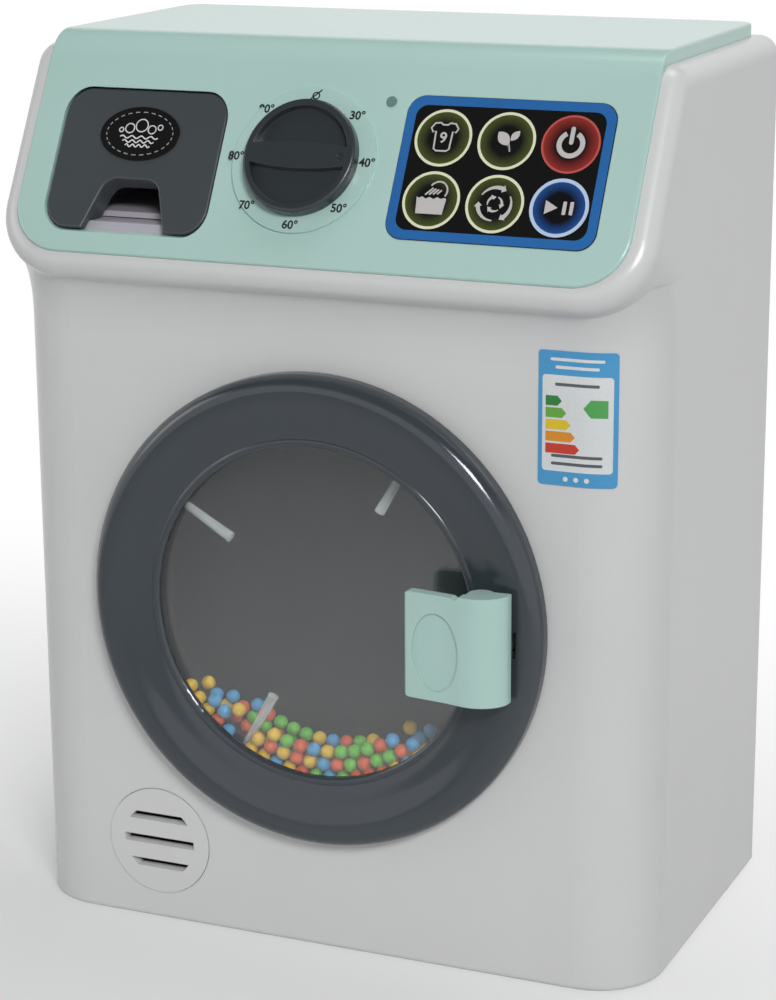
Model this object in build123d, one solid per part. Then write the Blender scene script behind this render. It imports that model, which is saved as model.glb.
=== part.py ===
from build123d import *
import os
from itertools import combinations
from math import acos, cos, degrees, pi, radians, sin, sqrt, tan

# Toy washing machine. Millimetres, Z up, X to the right, the front looks along -Y.
# "Depth" is measured backwards from the front face, so a negative depth stands in front of it.
# "Lift" is measured outwards from the sloping fascia, and "rise" is measured up its slope.

# Housing
WIDTH = 210.0
CASE_DEPTH = 118.5
HEIGHT = 280.0
LATCH_REACH = 19.5
WALL = 2.4
FIT = 0.3
SEAT_PLAY = 0.1
RUN = 0.05
FRONT_Y = (LATCH_REACH - CASE_DEPTH) / 2
BACK_Y = FRONT_Y + CASE_DEPTH
FRONT_CORNER_R = 22.0
FOOT_R = 1.8
COVER_STEP = 4.2
WHITE_TOP = HEIGHT - COVER_STEP
WHITE_BEND_R = 9.0
LIP_R = 6.0

# Flare under the fascia lip
FASCIA_DROP = 48.7
FASCIA_Z = HEIGHT - FASCIA_DROP
FLARE_DROP = 39.3
FLARE_START = FASCIA_Z - FLARE_DROP
FLARE_HEIGHT = 24.0
FLARE_REACH = 12.6
FLARE_POWER = 2.6
FLARE_STEPS = 6
RIM_BOTTOM = -21.4
RIM_CORNER_R = 21.5

# Fascia
TILT = 29.3
FASCIA_REACH = 2.15
COVER_PROUD = 1.3
COVER_WIDTH = 196.6
COVER_BOTTOM = -15.4
COVER_CORNER_R = 16.0
COVER_BEND_R = 12.5
COVER_BACK = 1.65
COVER_REAR_R = 6.0
COVER_EDGE_R = 0.8
COVER_SKIN = 2.0
COVER_RIM = 3.0
OPENING_W = 184.0
OPENING_LOW = -12.0
OPENING_HIGH = 47.0
OPENING_R = 10.0
PLUG_THICK = 2.4
PLUG_BACK = -COVER_PROUD - PLUG_THICK
TOP_BOSS_R = 3.6
TOP_BOSS_X = 82.0
TOP_BOSS_FRONT = -8.0
TOP_BOSS_REAR = 54.0

# Screws
SHANK_R = 1.0
HEAD_R = 2.0
HEAD_H = 1.3
SHANK_LEN = 3.6
SCREW_WALL = 1.6
CASE_SHANK_R = 1.3
CASE_HEAD_R = 3.0
CASE_HEAD_H = 1.5
CASE_SCREW_LEN = 14.0
RECESS_W = 0.7
SINK_FIT = 0.2
SINK_SET = 0.1
RECESS_DEPTH = 0.7

# Back
BACK_THICK = 2.4
BACK_SEAT = CASE_DEPTH - BACK_THICK
POST_R = 4.5
POST_INSET = 6.7
POST_LEN = 20.0
BACK_SLOT_W = 46.0
BACK_SLOT_H = 2.6
BACK_SLOT_PITCH = 7.0
BACK_SLOT_COUNT = 6
BACK_SLOT_DROP = 84.0

# Door
DOOR_Z = 110.7
RING_R = 74.2
RING_CREST = 8.0
RING_EDGE_R = 4.6
RING_CREST_R = RING_R - RING_EDGE_R
RING_WAIST_R = 60.5
RING_WAIST = 6.1
RING_LIP_R = 54.6
RING_LIP = 4.7
RING_BEAD = 0.4
RING_STEP = 4.3
RING_BORE = 52.2
RING_REAR = 0.5
RING_WALL = 1.6
RING_OUTER_WALL = 2.6
GROOVE_IN = 58.2
WINDOW_R = 54.5
WINDOW_FRONT = 3.7
WINDOW_THICK = 0.9
RETAINER_IN = 52.3
RETAINER_OUT = 57.5
RETAINER_THICK = 0.7
RETAINER_SCREW_R = 56.2
RETAINER_HEAD_R = 1.1
RETAINER_SHANK_R = 0.6
RETAINER_SCREW_LEN = 2.6
RETAINER_BITE = 1.0

# Door hinge
HINGE_X = -69.5
HINGE_PROUD = 5.0
HINGE_PIN_R = 1.0
HINGE_PIN_LEN = 30.0
HINGE_SWEEP = 4.7
HINGE_TRIM_H = 64.0
HINGE_BLOCK_R = 3.0
HINGE_BLOCK_LEN = 29.0
EAR_R = 1.9
EAR_W = 5.0
EAR_SPACING = 9.0
EAR_SLOT_R = 2.3
EAR_SWEEP = 2.8
EAR_ARM_LOW = 3.1
EAR_ARM_HIGH = 4.5
EAR_LEG_X = -63.5
EAR_LEG_W = 2.8

# Latch
LATCH_X = 58.0
LATCH_PROUD = 12.6
LATCH_Z = DOOR_Z - 0.8
LATCH_H = 33.2
LATCH_END_WALL = 3.2
LATCH_PIN_R = 1.2
LATCH_BOSS_R = 3.0
LATCH_LUG_W = 4.0
LATCH_NOSE_X = 61.3
LATCH_NOSE_W = 2.2
LATCH_NOSE_H = 7.0
LATCH_NOSE_TIP = -3.6
LATCH_CORNER_R = 3.0
LATCH_CREST = 19.4
LATCH_LEFT = 35.6
LATCH_RIGHT = 66.4
LATCH_TIP = 16.4
LATCH_SIDE = 10.2
LATCH_SKIN = 3.4
LATCH_SHOULDER = 3.0
LATCH_SHOULDER_DROP = 2.4
LATCH_NOTCH_X = 52.0
LATCH_NOTCH = 1.4
LATCH_STEP = 0.6
DIMPLE_X = 45.4
DIMPLE_DROP = 1.7
DIMPLE_W = 15.4
DIMPLE_H = 24.0
DIMPLE_DEEP = 0.7
NOSE_SLOT_W = 5.6
NOSE_SLOT_X = 63.8
KEEPER_W = 12.4
KEEPER_X = 67.2
KEEPER_H = 16.0
KEEPER_THICK = 1.2
KEEPER_MARGIN = 0.6
COIL_R = 2.1
COIL_WIRE = 0.5
COIL_PITCH = 0.8
COIL_LEN = 3.4

# Drum
DRUM_FRONT = -1.6
DRUM_GLASS = 0.8
CHAMBER = 14.0
DRUM_R = 57.4
DRUM_WALL = 1.2
DRUM_INNER = DRUM_R - DRUM_WALL
CHAMBER_FRONT = DRUM_FRONT + DRUM_GLASS
CHAMBER_BACK = CHAMBER_FRONT + CHAMBER
DRUM_BACK = CHAMBER_BACK + DRUM_WALL
DRUM_HOLE_R = 58.5
HUB_R = 6.0
HUB_LEN = 1.7
SHAFT_R = 2.0
PIN_COUNT = 4
PIN_START = 60.0
PIN_TIP_R = 36.5
PIN_RIM_RADIUS = 1.2
PIN_TIP_RADIUS = 1.7
PIN_RIM_DEPTH = CHAMBER_FRONT + CHAMBER / 2
PIN_LEAN = 0.4

# Drum housing
TUB_IN = 58.9
TUB_OUT = 60.5
TUB_BACK = DRUM_BACK + HUB_LEN + FIT
TUB_WALL = 1.8
TUB_REAR = TUB_BACK + TUB_WALL
TUB_EAR_R = 66.0
TUB_EAR_SEAT = 8.0
TUB_EAR_THICK = 2.0
TUB_EAR_ANGLES = (45, 135, 225, 315)
BOSS_R = 4.0
BUSH_R = 4.0
BUSH_BOSS_R = 7.0
BUSH_END = TUB_REAR + 5.0

# Gear train
DRUM_MODULE = 1.0
DRUM_TEETH = 48
IDLER_SMALL_TEETH = 12
MOTOR_MODULE = 0.8
IDLER_LARGE_TEETH = 40
PINION_TEETH = 10
PRESSURE_ANGLE = 20.0
BACKLASH = 0.08
IDLER_ANGLE = -50.0
MOTOR_ANGLE = 200.0
IDLER_DISTANCE = DRUM_MODULE * (DRUM_TEETH + IDLER_SMALL_TEETH) / 2
MOTOR_DISTANCE = MOTOR_MODULE * (IDLER_LARGE_TEETH + PINION_TEETH) / 2
IDLER_X = IDLER_DISTANCE * cos(radians(IDLER_ANGLE))
IDLER_Z = DOOR_Z + IDLER_DISTANCE * sin(radians(IDLER_ANGLE))
MOTOR_X = IDLER_X + MOTOR_DISTANCE * cos(radians(MOTOR_ANGLE))
MOTOR_Z = IDLER_Z + MOTOR_DISTANCE * sin(radians(MOTOR_ANGLE))
GEAR_FRONT = BUSH_END + 1.0
GEAR_WIDTH = 6.0
GEAR_BACK = GEAR_FRONT + GEAR_WIDTH
WHEEL_GAP = 0.6
WHEEL_WIDTH = 3.0
WHEEL_FRONT = GEAR_BACK + WHEEL_GAP
WHEEL_BACK = WHEEL_FRONT + WHEEL_WIDTH
PINION_FRONT = WHEEL_FRONT - 0.4
PINION_BACK = WHEEL_BACK + 1.0
CLIP_R = 4.0
CLIP_THICK = 0.8
CLIP_GAP = 2.4
GEARBOX_SEAT = WHEEL_BACK + 2.4
GEARBOX_THICK = 2.0
GEARBOX_REAR = GEARBOX_SEAT + GEARBOX_THICK
GEARBOX_POST_R = 3.2
GEARBOX_EDGE = 6.0
GEARBOX_POSTS = ((-24, 128), (26, 130), (-24, 70), (40, 72))
AXLE_R = 1.5
IDLER_HUB_R = 3.2
WEB_THICK = 2.0
WEB_IN = 7.0
WEB_OUT = 20.0

# Motor
MOTOR_R = 10.0
MOTOR_FLAT = 15.2
MOTOR_CAN_LEN = 20.0
MOTOR_CAP_LEN = 4.0
MOTOR_SHAFT_R = 1.0
MOTOR_NOSE_R = 3.0
MOTOR_COLLAR = 1.6
MOTOR_COLLAR_LEN = 7.0
TERMINAL_W = 2.0
TERMINAL_LEN = 4.0
TERMINAL_THICK = 0.5
TERMINAL_X = 5.0

# Speaker grille
VENT_X = -57.0
VENT_Z = 26.7
VENT_R = 17.6
VENT_PROUD = 0.4
VENT_FLANGE_R = 19.2
VENT_FLANGE = 1.0
VENT_SLOT_H = 2.6
VENT_PITCH = 8.0
VENT_SLOT_REACH = 12.3
VENT_LOUVRE = 1.8
SPEAKER_R = 16.6
SPEAKER_SEAT = WALL + VENT_FLANGE
SPEAKER_EAR_X = 22.6
SPEAKER_RIM = 1.6
SPEAKER_DEEP = 7.0
SPEAKER_MAGNET_R = 8.0
SPEAKER_MAGNET_H = 5.0
CONE_R = 13.4
CONE_DEEP = 5.4
CONE_SKIN = 0.7
CONE_PLAY = 0.2
CONE_FLAT = 1.0
SPEAKER_SKIN = 1.0
SPEAKER_ARM = 9.0
COIL_FORMER_R = 4.6
DUST_CAP = 2.4

# Printed label
LABEL_X = 82.2
LABEL_DROP = 53.7
LABEL_WRAP = 4.0
LABEL_W = 23.3
LABEL_H = 39.7
LABEL_R = 1.2
LABEL_THICK = 0.25

# Drawer
DRAWER_X = -60.95
DRAWER_W = 54.3
DRAWER_DROP = 7.24
DRAWER_H = 39.34
DRAWER_LOW = FASCIA_Z - DRAWER_DROP
DRAWER_HIGH = DRAWER_LOW + DRAWER_H
DRAWER_EDGE_R = 0.6
DRAWER_R = 7.5
DRAWER_GAP = 0.6
DRAWER_SUNK = -0.3
DRAWER_PLATE = 2.4
NOTCH_HALF_LOW = 14.5
NOTCH_HALF_TOP = 8.5
NOTCH_LOW = -9.5
NOTCH_TOP = 8.5
NOTCH_R = 5.0
NOTCH_WALL = 1.6
NOTCH_DEEP = 5.0
TRAY_W = 49.0
TRAY_LIFT = 2.14
TRAY_H = 23.8
TRAY_LOW = DRAWER_LOW + TRAY_LIFT
TRAY_TOP = TRAY_LOW + TRAY_H
TRAY_WALL = 1.6
TRAY_BACK = 18.0
BADGE_X = -61.4
BADGE_RISE = 23.0
BADGE_W = 26.6
BADGE_H = 17.2
BADGE_PROUD = 0.5
GUIDE_WALL = 1.6
GUIDE_GAP = 0.5
GUIDE_DROP = 8.0
GUIDE_TOP = TRAY_TOP - GUIDE_DROP
GUIDE_FLANGE = 3.4
GUIDE_FLANGE_THICK = 1.6
GUIDE_EAR_X = 24.0
GUIDE_EAR_RISE = 42.0

# Dial
DIAL_X = -5.6
DIAL_RISE = 17.4
DIAL_DISC_R = 22.8
DIAL_DISC = 0.8
KNOB_R = 17.7
KNOB_LOW = DIAL_DISC + 0.3
KNOB_H = 3.9
KNOB_EDGE_R = 0.9
KNOB_RIM = 2.3
KNOB_HOLLOW = 2.5
GRIP_HALF = 4.25
GRIP_ARC_R = 85.0
POINTER_R = 1.25
POINTER_X = 13.6
POINTER_DEEP = 0.5
KNOB_HUB_R = 5.5
KNOB_HOLE_R = 6.2
SPINDLE_R = 3.0
SWITCH_W = 15.0
SWITCH_H = 3.6
SWITCH_NECK_R = 4.4

# Touch panel and lamp
PANEL_X = 56.0
PANEL_RISE = 17.3
PANEL_W = 64.0
PANEL_H = 44.2
PANEL_R = 5.5
PANEL_SUNK = 0.8
PANEL_PROUD = 0.2
PANEL_WINDOW_W = 54.0
PANEL_WINDOW_H = 34.0
LAMP_X = 18.4
LAMP_RISE = 37.0
LAMP_R = 1.6
LAMP_FLANGE_R = 2.6
LAMP_FLANGE = 0.8

# Control board
BOARD_X = 28.0
BOARD_RISE = 17.4
BOARD_W = 112.0
BOARD_H = 52.0
BOARD_TOP = -8.6
BOARD_THICK = 1.6
BOARD_POST_R = 2.8
BOARD_INSET = 4.0
KEY_PITCH_X = 19.45
KEY_PITCH_RISE = 19.0
KEY_LAMP_W = 3.5
KEY_LAMP_H = 2.8
KEY_LAMP_TALL = 1.9
CHIP_W = 10.0
CHIP_H = 7.0
CHIP_TALL = 1.7
CAPACITOR_R = 2.5
CAPACITOR_TALL = 7.0

# Batteries
BATTERY_Z = 70.0
CELL_R = 7.1
CELL_LEN = 49.2
CELL_NUB_R = 2.7
CELL_NUB = 1.2
CELL_PITCH = 14.8
CELL_COUNT = 3
BOX_W = 48.0
BOX_H = 58.0
BOX_DEEP = 19.0
BOX_WALL = 1.5
BOX_FLANGE = 7.0
BOX_FLANGE_THICK = 1.6
BATTERY_DOOR_W = 54.0
BATTERY_DOOR_H = 72.0
BATTERY_DOOR_R = 3.0
BATTERY_DOOR_THICK = 2.2
CONTACT_W = 8.0
CONTACT_THICK = 0.4
DOOR_SCREW_RISE = 32.0
DOOR_TAB_W = 8.0
DOOR_TAB_H = 8.0
DOOR_TAB_NECK = 3.8
DOOR_TAB_X = 15.0
GRIP_RIB_W = 16.0
GRIP_DROP = 22.0
GRIP_PITCH = 2.4
GRIP_DEEP = 0.5

# Beads
BEAD_R = 2.25
BEAD_GAP = 0.04
BEAD_RIM = DRUM_INNER - BEAD_R - BEAD_GAP
BEAD_ROW = 4.15
BEAD_STEP = 4.62
BEAD_ROWS = ("YYYOB.YYBYOGBGOOOYBY", "BB..YOYOYBOGOGGOB", "Y..YGOBYGGGOB")
BEAD_START = -146.0
BEAD_ROW_SHIFT = 9.0


# Placing

def facing(depth, x=0.0, z=0.0):
    """Upright plane at a depth, seen from the front."""
    return Plane((x, FRONT_Y + depth, z), x_dir=(1, 0, 0), z_dir=(0, -1, 0))


def backing(depth, x=0.0, z=0.0):
    """Upright plane at a depth, seen from the back."""
    return Plane((x, FRONT_Y + depth, z), x_dir=(-1, 0, 0), z_dir=(0, 1, 0))


def slab(shape, near, far, x=0.0, z=0.0):
    """A drawing of the front view, standing from one depth to another."""
    return extrude(facing(far, x, z) * shape, far - near)


def rod(radius, near, far, x=0.0, z=0.0):
    return slab(Circle(radius), near, far, x, z)


def tube(outer, inner, near, far, x=0.0, z=0.0):
    return slab(Circle(outer) - Circle(inner), near, far, x, z)


def fascia(x=0.0, rise=0.0, lift=0.0):
    """Plane of the sloping fascia."""
    up = Vector(0, sin(radians(TILT)), cos(radians(TILT)))
    out = Vector(0, -cos(radians(TILT)), sin(radians(TILT)))
    origin = Vector(x, FRONT_Y - FASCIA_REACH, FASCIA_Z) + up * rise + out * lift
    return Plane(origin, x_dir=(1, 0, 0), z_dir=out)


def inlay(shape, low, high, x=0.0, rise=0.0):
    """A drawing on the fascia, standing from one lift to another."""
    return extrude(fascia(x, rise, low) * shape, high - low)


def spun(points, x=0.0, z=0.0):
    """A ring turned about an axis that runs front to back. Points are (radius, depth)."""
    outline = Polyline(*[(radius, FRONT_Y + depth) for radius, depth in points], close=True)
    return Pos(x, 0, z) * revolve(make_face(outline), Axis.Y)


def level(shape, low, high):
    """A drawing of the top view, standing from one height to another."""
    return Pos(0, 0, low) * extrude(shape, high - low)


def top_point(x, proud):
    """A point of the top view, given by how far it stands in front of the front face."""
    return (x, FRONT_Y - proud)


def cross_recess():
    arm = Box(RECESS_W, HEAD_R * 1.3, RECESS_DEPTH * 2)
    return arm + Rot(0, 0, 90) * arm


def pan_screw():
    """Head on the seat at z = 0, shank below it."""
    head = Pos(0, 0, HEAD_H / 2) * Cylinder(HEAD_R, HEAD_H)
    shank = Pos(0, 0, -SHANK_LEN / 2) * Cylinder(SHANK_R, SHANK_LEN)
    return head + shank - Pos(0, 0, HEAD_H) * cross_recess()


def sunk_screw(head_r, head_h, shank_r, length):
    """Top of the head at z = 0, the rest below it."""
    head = Pos(0, 0, -head_h / 2) * Cone(shank_r, head_r, head_h)
    shank = Pos(0, 0, -length / 2) * Cylinder(shank_r, length)
    return head + shank


def merged(parts):
    parts = list(parts)
    return parts[0] + parts[1:]


def group(parts):
    return Compound(children=[solid for part in parts for solid in part.solids()])


# Housing

def slope_y(z, lift):
    base = FRONT_Y - FASCIA_REACH - lift / cos(radians(TILT))
    return base + (z - FASCIA_Z) * tan(radians(TILT))


def side_profile(inset, lift, top, bend, back, bottom, half_width):
    """Everything behind the fascia slope and under the top, as a prism across the width."""
    slope = lift - inset
    low, high = bottom, top - inset
    lower, upper = (slope_y(low, slope), low), (slope_y(high, slope), high)
    outline = Polyline((back, low), lower, upper, (back, high), close=True)
    face = make_face(Plane.YZ * outline)
    corner = min(face.vertices().group_by(Axis.Z)[-1], key=lambda vertex: vertex.Y)
    return extrude(fillet(corner, bend), half_width, both=True)


def flare_points(inset):
    """Front of the housing seen from the side, from the upright face out to the lip."""
    points = []
    for step in range(FLARE_STEPS + 1):
        share = step / FLARE_STEPS
        front = FRONT_Y + inset - FLARE_REACH * share ** FLARE_POWER
        points.append((front, FLARE_START + FLARE_HEIGHT * share))
    return points


def is_front_corner(edge, half):
    middle = edge.center()
    return abs(abs(middle.X) - half) < 0.01 and middle.Y < 0 and edge.bounding_box().size.Z > WALL


def swept_body(inset):
    """Body with a concave sweep at the top of its front and rounded front corners."""
    points = flare_points(inset)
    steepness = FLARE_REACH * FLARE_POWER / FLARE_HEIGHT
    sweep_line = Spline(*points, tangents=((0, 1), (-steepness, 1)))
    back, low, high = BACK_Y + WALL, max(inset, 0), points[-1][1]
    rest = Polyline(points[-1], (back, high), (back, low), (FRONT_Y + inset, low), points[0])
    half = WIDTH / 2 - inset
    body = extrude(make_face([Plane.YZ * sweep_line, Plane.YZ * rest]), half, both=True)
    corners = [edge for edge in body.edges() if is_front_corner(edge, half)]
    return fillet(corners, FRONT_CORNER_R - inset)


def head_block(inset, edge_r):
    """Upper body behind the fascia, with a rounded rim."""
    half = WIDTH / 2 - inset
    bend = WHITE_BEND_R - inset
    block = side_profile(inset, -COVER_PROUD, WHITE_TOP, bend, BACK_Y, HEIGHT / 2, half)
    face = Pos(0, RIM_BOTTOM + inset + HEIGHT / 2) * Rectangle(2 * half, HEIGHT)
    face = fillet(face.vertices().group_by(Axis.Y)[0], RIM_CORNER_R - inset)
    block &= inlay(face, -HEIGHT, WALL)
    if edge_r:
        edges = block.edges()
        rim = [edge for edge in edges if is_rim_edge(edge, -COVER_PROUD, WHITE_TOP, WHITE_BEND_R, WIDTH)]
        block = fillet(rim, edge_r)
    return block


def housing_form(inset, edge_r=0):
    """Outer body of the housing, or its inside when inset by the wall."""
    behind_lip = -COVER_PROUD - LIP_R
    limit = side_profile(inset, behind_lip, WHITE_TOP, WHITE_BEND_R, BACK_Y + 2 * WALL, -WALL, WIDTH)
    body = (swept_body(inset) & limit) + head_block(inset, edge_r)
    back_cut = Pos(0, BACK_Y + 2 * WALL, HEIGHT / 2) * Box(2 * WIDTH, 4 * WALL, 2 * HEIGHT)
    return body - back_cut


def rounded_form():
    """Housing with the lip, the edges of the slope and the foot rounded."""
    body = housing_form(0, LIP_R)
    foot = [edge for edge in body.edges().group_by(Axis.Z)[0] if edge.center().Y < BACK_Y - 1]
    return fillet(foot, FOOT_R)


def post_places():
    side = WIDTH / 2 - POST_INSET
    heights = (POST_INSET, HEIGHT / 2, WHITE_TOP - POST_INSET)
    return [(x, z) for x in (-side, side) for z in heights]


def ear_places():
    places = []
    for angle in TUB_EAR_ANGLES:
        x = TUB_EAR_R * cos(radians(angle))
        places.append((x, DOOR_Z + TUB_EAR_R * sin(radians(angle))))
    return places


def speaker_places():
    return [(VENT_X - SPEAKER_EAR_X, VENT_Z), (VENT_X + SPEAKER_EAR_X, VENT_Z)]


def hinge_ear():
    """Arm that carries the hinge pin, standing on the front face."""
    reach = EAR_LEG_X + EAR_LEG_W - HINGE_X
    arm_x, arm_y = top_point(HINGE_X + reach / 2, (EAR_ARM_LOW + EAR_ARM_HIGH) / 2)
    leg_x, leg_y = top_point(EAR_LEG_X + EAR_LEG_W / 2, (EAR_ARM_HIGH - WALL / 2) / 2)
    shape = Pos(*top_point(HINGE_X, HINGE_PROUD)) * Circle(EAR_R)
    shape += Pos(arm_x, arm_y) * Rectangle(reach, EAR_ARM_HIGH - EAR_ARM_LOW)
    shape += Pos(leg_x, leg_y) * Rectangle(EAR_LEG_W, EAR_ARM_HIGH + WALL / 2)
    shape -= Pos(*top_point(HINGE_X, HINGE_PROUD)) * Circle(HINGE_PIN_R)
    return extrude(shape, EAR_W / 2, both=True)


def nose_slot(near, far, margin):
    width = NOSE_SLOT_W + 2 * margin
    height = LATCH_NOSE_H + 2 * (FIT + margin)
    return slab(Rectangle(width, height), near, far, NOSE_SLOT_X, LATCH_Z)


def cabinet_shell():
    shell = rounded_form() - housing_form(WALL)
    shell -= rod(DRUM_HOLE_R, -1, WALL + 1, 0, DOOR_Z)
    opening = RectangleRounded(OPENING_W, OPENING_HIGH - OPENING_LOW, OPENING_R)
    middle = (OPENING_HIGH + OPENING_LOW) / 2
    shell -= inlay(opening, PLUG_BACK - WALL, 1, 0, middle)
    shell -= rod(VENT_R + FIT / 2, -1, WALL + 1, VENT_X, VENT_Z)
    for x, z in post_places():
        shell += rod(POST_R, BACK_SEAT - POST_LEN, BACK_SEAT, x, z)
        shell -= rod(CASE_SHANK_R, BACK_SEAT - CASE_SCREW_LEN, BACK_SEAT, x, z)
    for x, z in ear_places():
        shell += rod(BOSS_R, WALL / 2, TUB_EAR_SEAT, x, z)
        shell -= rod(SHANK_R, WALL, TUB_EAR_SEAT, x, z)
    for x, z in speaker_places():
        shell += rod(SCREW_WALL + SHANK_R, WALL / 2, SPEAKER_SEAT, x, z)
        shell -= rod(SHANK_R, SPEAKER_SEAT + SPEAKER_RIM - SHANK_LEN, SPEAKER_SEAT, x, z)
    shell -= nose_slot(-1, WALL + 1, KEEPER_MARGIN)
    for offset in (-EAR_SPACING, EAR_SPACING):
        shell += Pos(0, 0, DOOR_Z + offset) * hinge_ear()
    for x, y in top_boss_places():
        shell -= Pos(x, y, WHITE_TOP) * Cylinder(SHANK_R + FIT, 3 * WALL)
    return shell


def top_boss_places():
    return [(x, y) for x in (-TOP_BOSS_X, TOP_BOSS_X) for y in (TOP_BOSS_FRONT, TOP_BOSS_REAR)]


def back_slots():
    slots = []
    for step in range(BACK_SLOT_COUNT):
        z = HEIGHT - BACK_SLOT_DROP + step * BACK_SLOT_PITCH
        slots.append(slab(SlotOverall(BACK_SLOT_W, BACK_SLOT_H), BACK_SEAT - 1, CASE_DEPTH + 1, 0, z))
    return slots


def back_cover():
    width = WIDTH - 2 * (WALL + FIT)
    low, high = WALL + FIT, WHITE_TOP - WALL - FIT
    cover = slab(Rectangle(width, high - low), BACK_SEAT, CASE_DEPTH, 0, (low + high) / 2)
    hatch = RectangleRounded(BATTERY_DOOR_W + 2 * FIT, BATTERY_DOOR_H + 2 * FIT, BATTERY_DOOR_R + FIT)
    cover -= slab(hatch, BACK_SEAT - 1, CASE_DEPTH + 1, 0, BATTERY_Z)
    for slot in back_slots():
        cover -= slot
    for x, z in post_places():
        seat = sunk_screw(CASE_HEAD_R + SINK_FIT, CASE_HEAD_H, CASE_SHANK_R + SINK_FIT, 2 * BACK_THICK)
        cover -= backing(CASE_DEPTH, x, z) * seat
    return cover


def back_cover_screws():
    screw = sunk_screw(CASE_HEAD_R, CASE_HEAD_H, CASE_SHANK_R, CASE_SCREW_LEN)
    screw -= cross_recess()
    return group(backing(CASE_DEPTH - SINK_SET, x, z) * screw for x, z in post_places())


# Mint top and fascia

def cover_outline():
    """Block over the fascia and the top, cut to the rounded outline of the cover."""
    half = COVER_WIDTH / 2
    bottom = FASCIA_Z + COVER_BOTTOM * cos(radians(TILT))
    back = BACK_Y - COVER_BACK
    block = side_profile(0, 0, HEIGHT, COVER_BEND_R, back, bottom - 2 * WALL, half)
    rear = [edge for edge in block.edges().filter_by(Axis.Z) if edge.center().Y > back - 1]
    block = fillet(rear, COVER_REAR_R)
    length = HEIGHT
    face = Pos(0, COVER_BOTTOM + length / 2) * Rectangle(COVER_WIDTH, length)
    face = fillet(face.vertices().group_by(Axis.Y)[0], COVER_CORNER_R)
    return block & inlay(face, -length, WALL)


def drawer_outline(margin):
    """Drawer plate seen from the front."""
    height = DRAWER_HIGH - DRAWER_LOW + 2 * margin
    return RectangleRounded(DRAWER_W + 2 * margin, height, DRAWER_R + margin)


def drawer_prism(margin, near, far):
    return slab(drawer_outline(margin), near, far, DRAWER_X, (DRAWER_LOW + DRAWER_HIGH) / 2)


def board_corners():
    half_w = BOARD_W / 2 - BOARD_INSET
    half_h = BOARD_H / 2 - BOARD_INSET
    return [(BOARD_X + i * half_w, BOARD_RISE + j * half_h) for i in (-1, 1) for j in (-1, 1)]


def guide_ears():
    return [(DRAWER_X - GUIDE_EAR_X, GUIDE_EAR_RISE), (DRAWER_X + GUIDE_EAR_X, GUIDE_EAR_RISE)]


def cover_top_hollow():
    """Space under the top skin, with a rim all round."""
    back = BACK_Y - COVER_BACK - COVER_RIM
    front = slope_y(HEIGHT, 0) + COVER_BEND_R
    width = COVER_WIDTH - 2 * COVER_RIM
    shape = Pos(0, (front + back) / 2) * RectangleRounded(width, back - front, COVER_REAR_R - COVER_RIM)
    return level(shape, WHITE_TOP - 1, HEIGHT - COVER_SKIN)


def top_cover():
    skin = cover_outline()
    skin -= side_profile(0, -COVER_PROUD, WHITE_TOP, WHITE_BEND_R, BACK_Y + 1, 0, WIDTH)
    outer = [edge for edge in skin.edges() if is_rim_edge(edge, 0, HEIGHT, COVER_BEND_R, COVER_WIDTH)]
    skin = fillet(outer, COVER_EDGE_R)
    skin -= cover_top_hollow()
    plug = RectangleRounded(OPENING_W - 2 * FIT, OPENING_HIGH - OPENING_LOW - 2 * FIT, OPENING_R - FIT)
    skin += inlay(plug, PLUG_BACK, -COVER_PROUD, 0, (OPENING_HIGH + OPENING_LOW) / 2)
    skin += inlay(Circle(DIAL_DISC_R), -COVER_PROUD, DIAL_DISC, DIAL_X, DIAL_RISE)
    skin -= inlay(Circle(KNOB_HOLE_R), PLUG_BACK - 1, DIAL_DISC + 1, DIAL_X, DIAL_RISE)
    skin -= drawer_prism(DRAWER_GAP, -2 * LATCH_REACH, CASE_DEPTH / 2)
    seat = RectangleRounded(PANEL_W + 2 * SEAT_PLAY, PANEL_H + 2 * SEAT_PLAY, PANEL_R)
    skin -= inlay(seat, -PANEL_SUNK, 1, PANEL_X, PANEL_RISE)
    skin -= inlay(Rectangle(PANEL_WINDOW_W, PANEL_WINDOW_H), PLUG_BACK - 1, 0, PANEL_X, PANEL_RISE)
    skin -= inlay(Circle(LAMP_R), PLUG_BACK - 1, 1, LAMP_X, LAMP_RISE)
    for x, rise in board_corners():
        skin += inlay(Circle(BOARD_POST_R), BOARD_TOP, PLUG_BACK + 1, x, rise)
        skin -= inlay(Circle(SHANK_R), BOARD_TOP, PLUG_BACK, x, rise)
    for x, rise in guide_ears():
        skin -= inlay(Circle(SHANK_R), PLUG_BACK - 1, -COVER_PROUD, x, rise)
    for x, y in top_boss_places():
        boss = Pos(x, y) * Circle(TOP_BOSS_R)
        bore = Pos(x, y) * Circle(SHANK_R)
        skin += level(boss, WHITE_TOP, HEIGHT - COVER_SKIN / 2)
        skin -= level(bore, WHITE_TOP - 1, HEIGHT - COVER_SKIN)
    return skin


def is_rim_edge(edge, lift, top, bend_r, width):
    """True along the outer rim of a block, on its slope, its bend and its top."""
    low, high = edge.bounding_box().min, edge.bounding_box().max
    at_back = low.Y > BACK_Y - 1
    on_top = low.Z > top - 0.01 and not at_back
    along = fascia()
    lifts = [along.to_local_coords(edge.position_at(share)).Z for share in (0, 0.5, 1)]
    on_slope = all(abs(value - lift) < 0.01 for value in lifts)
    on_bend = edge.geom_type == GeomType.CIRCLE and abs(edge.radius - bend_r) < 0.01
    across = high.X - low.X > width - 1 and low.Z > FASCIA_Z and low.Y < 0
    return (on_top or on_slope or on_bend) and not across


# Drawer

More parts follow.
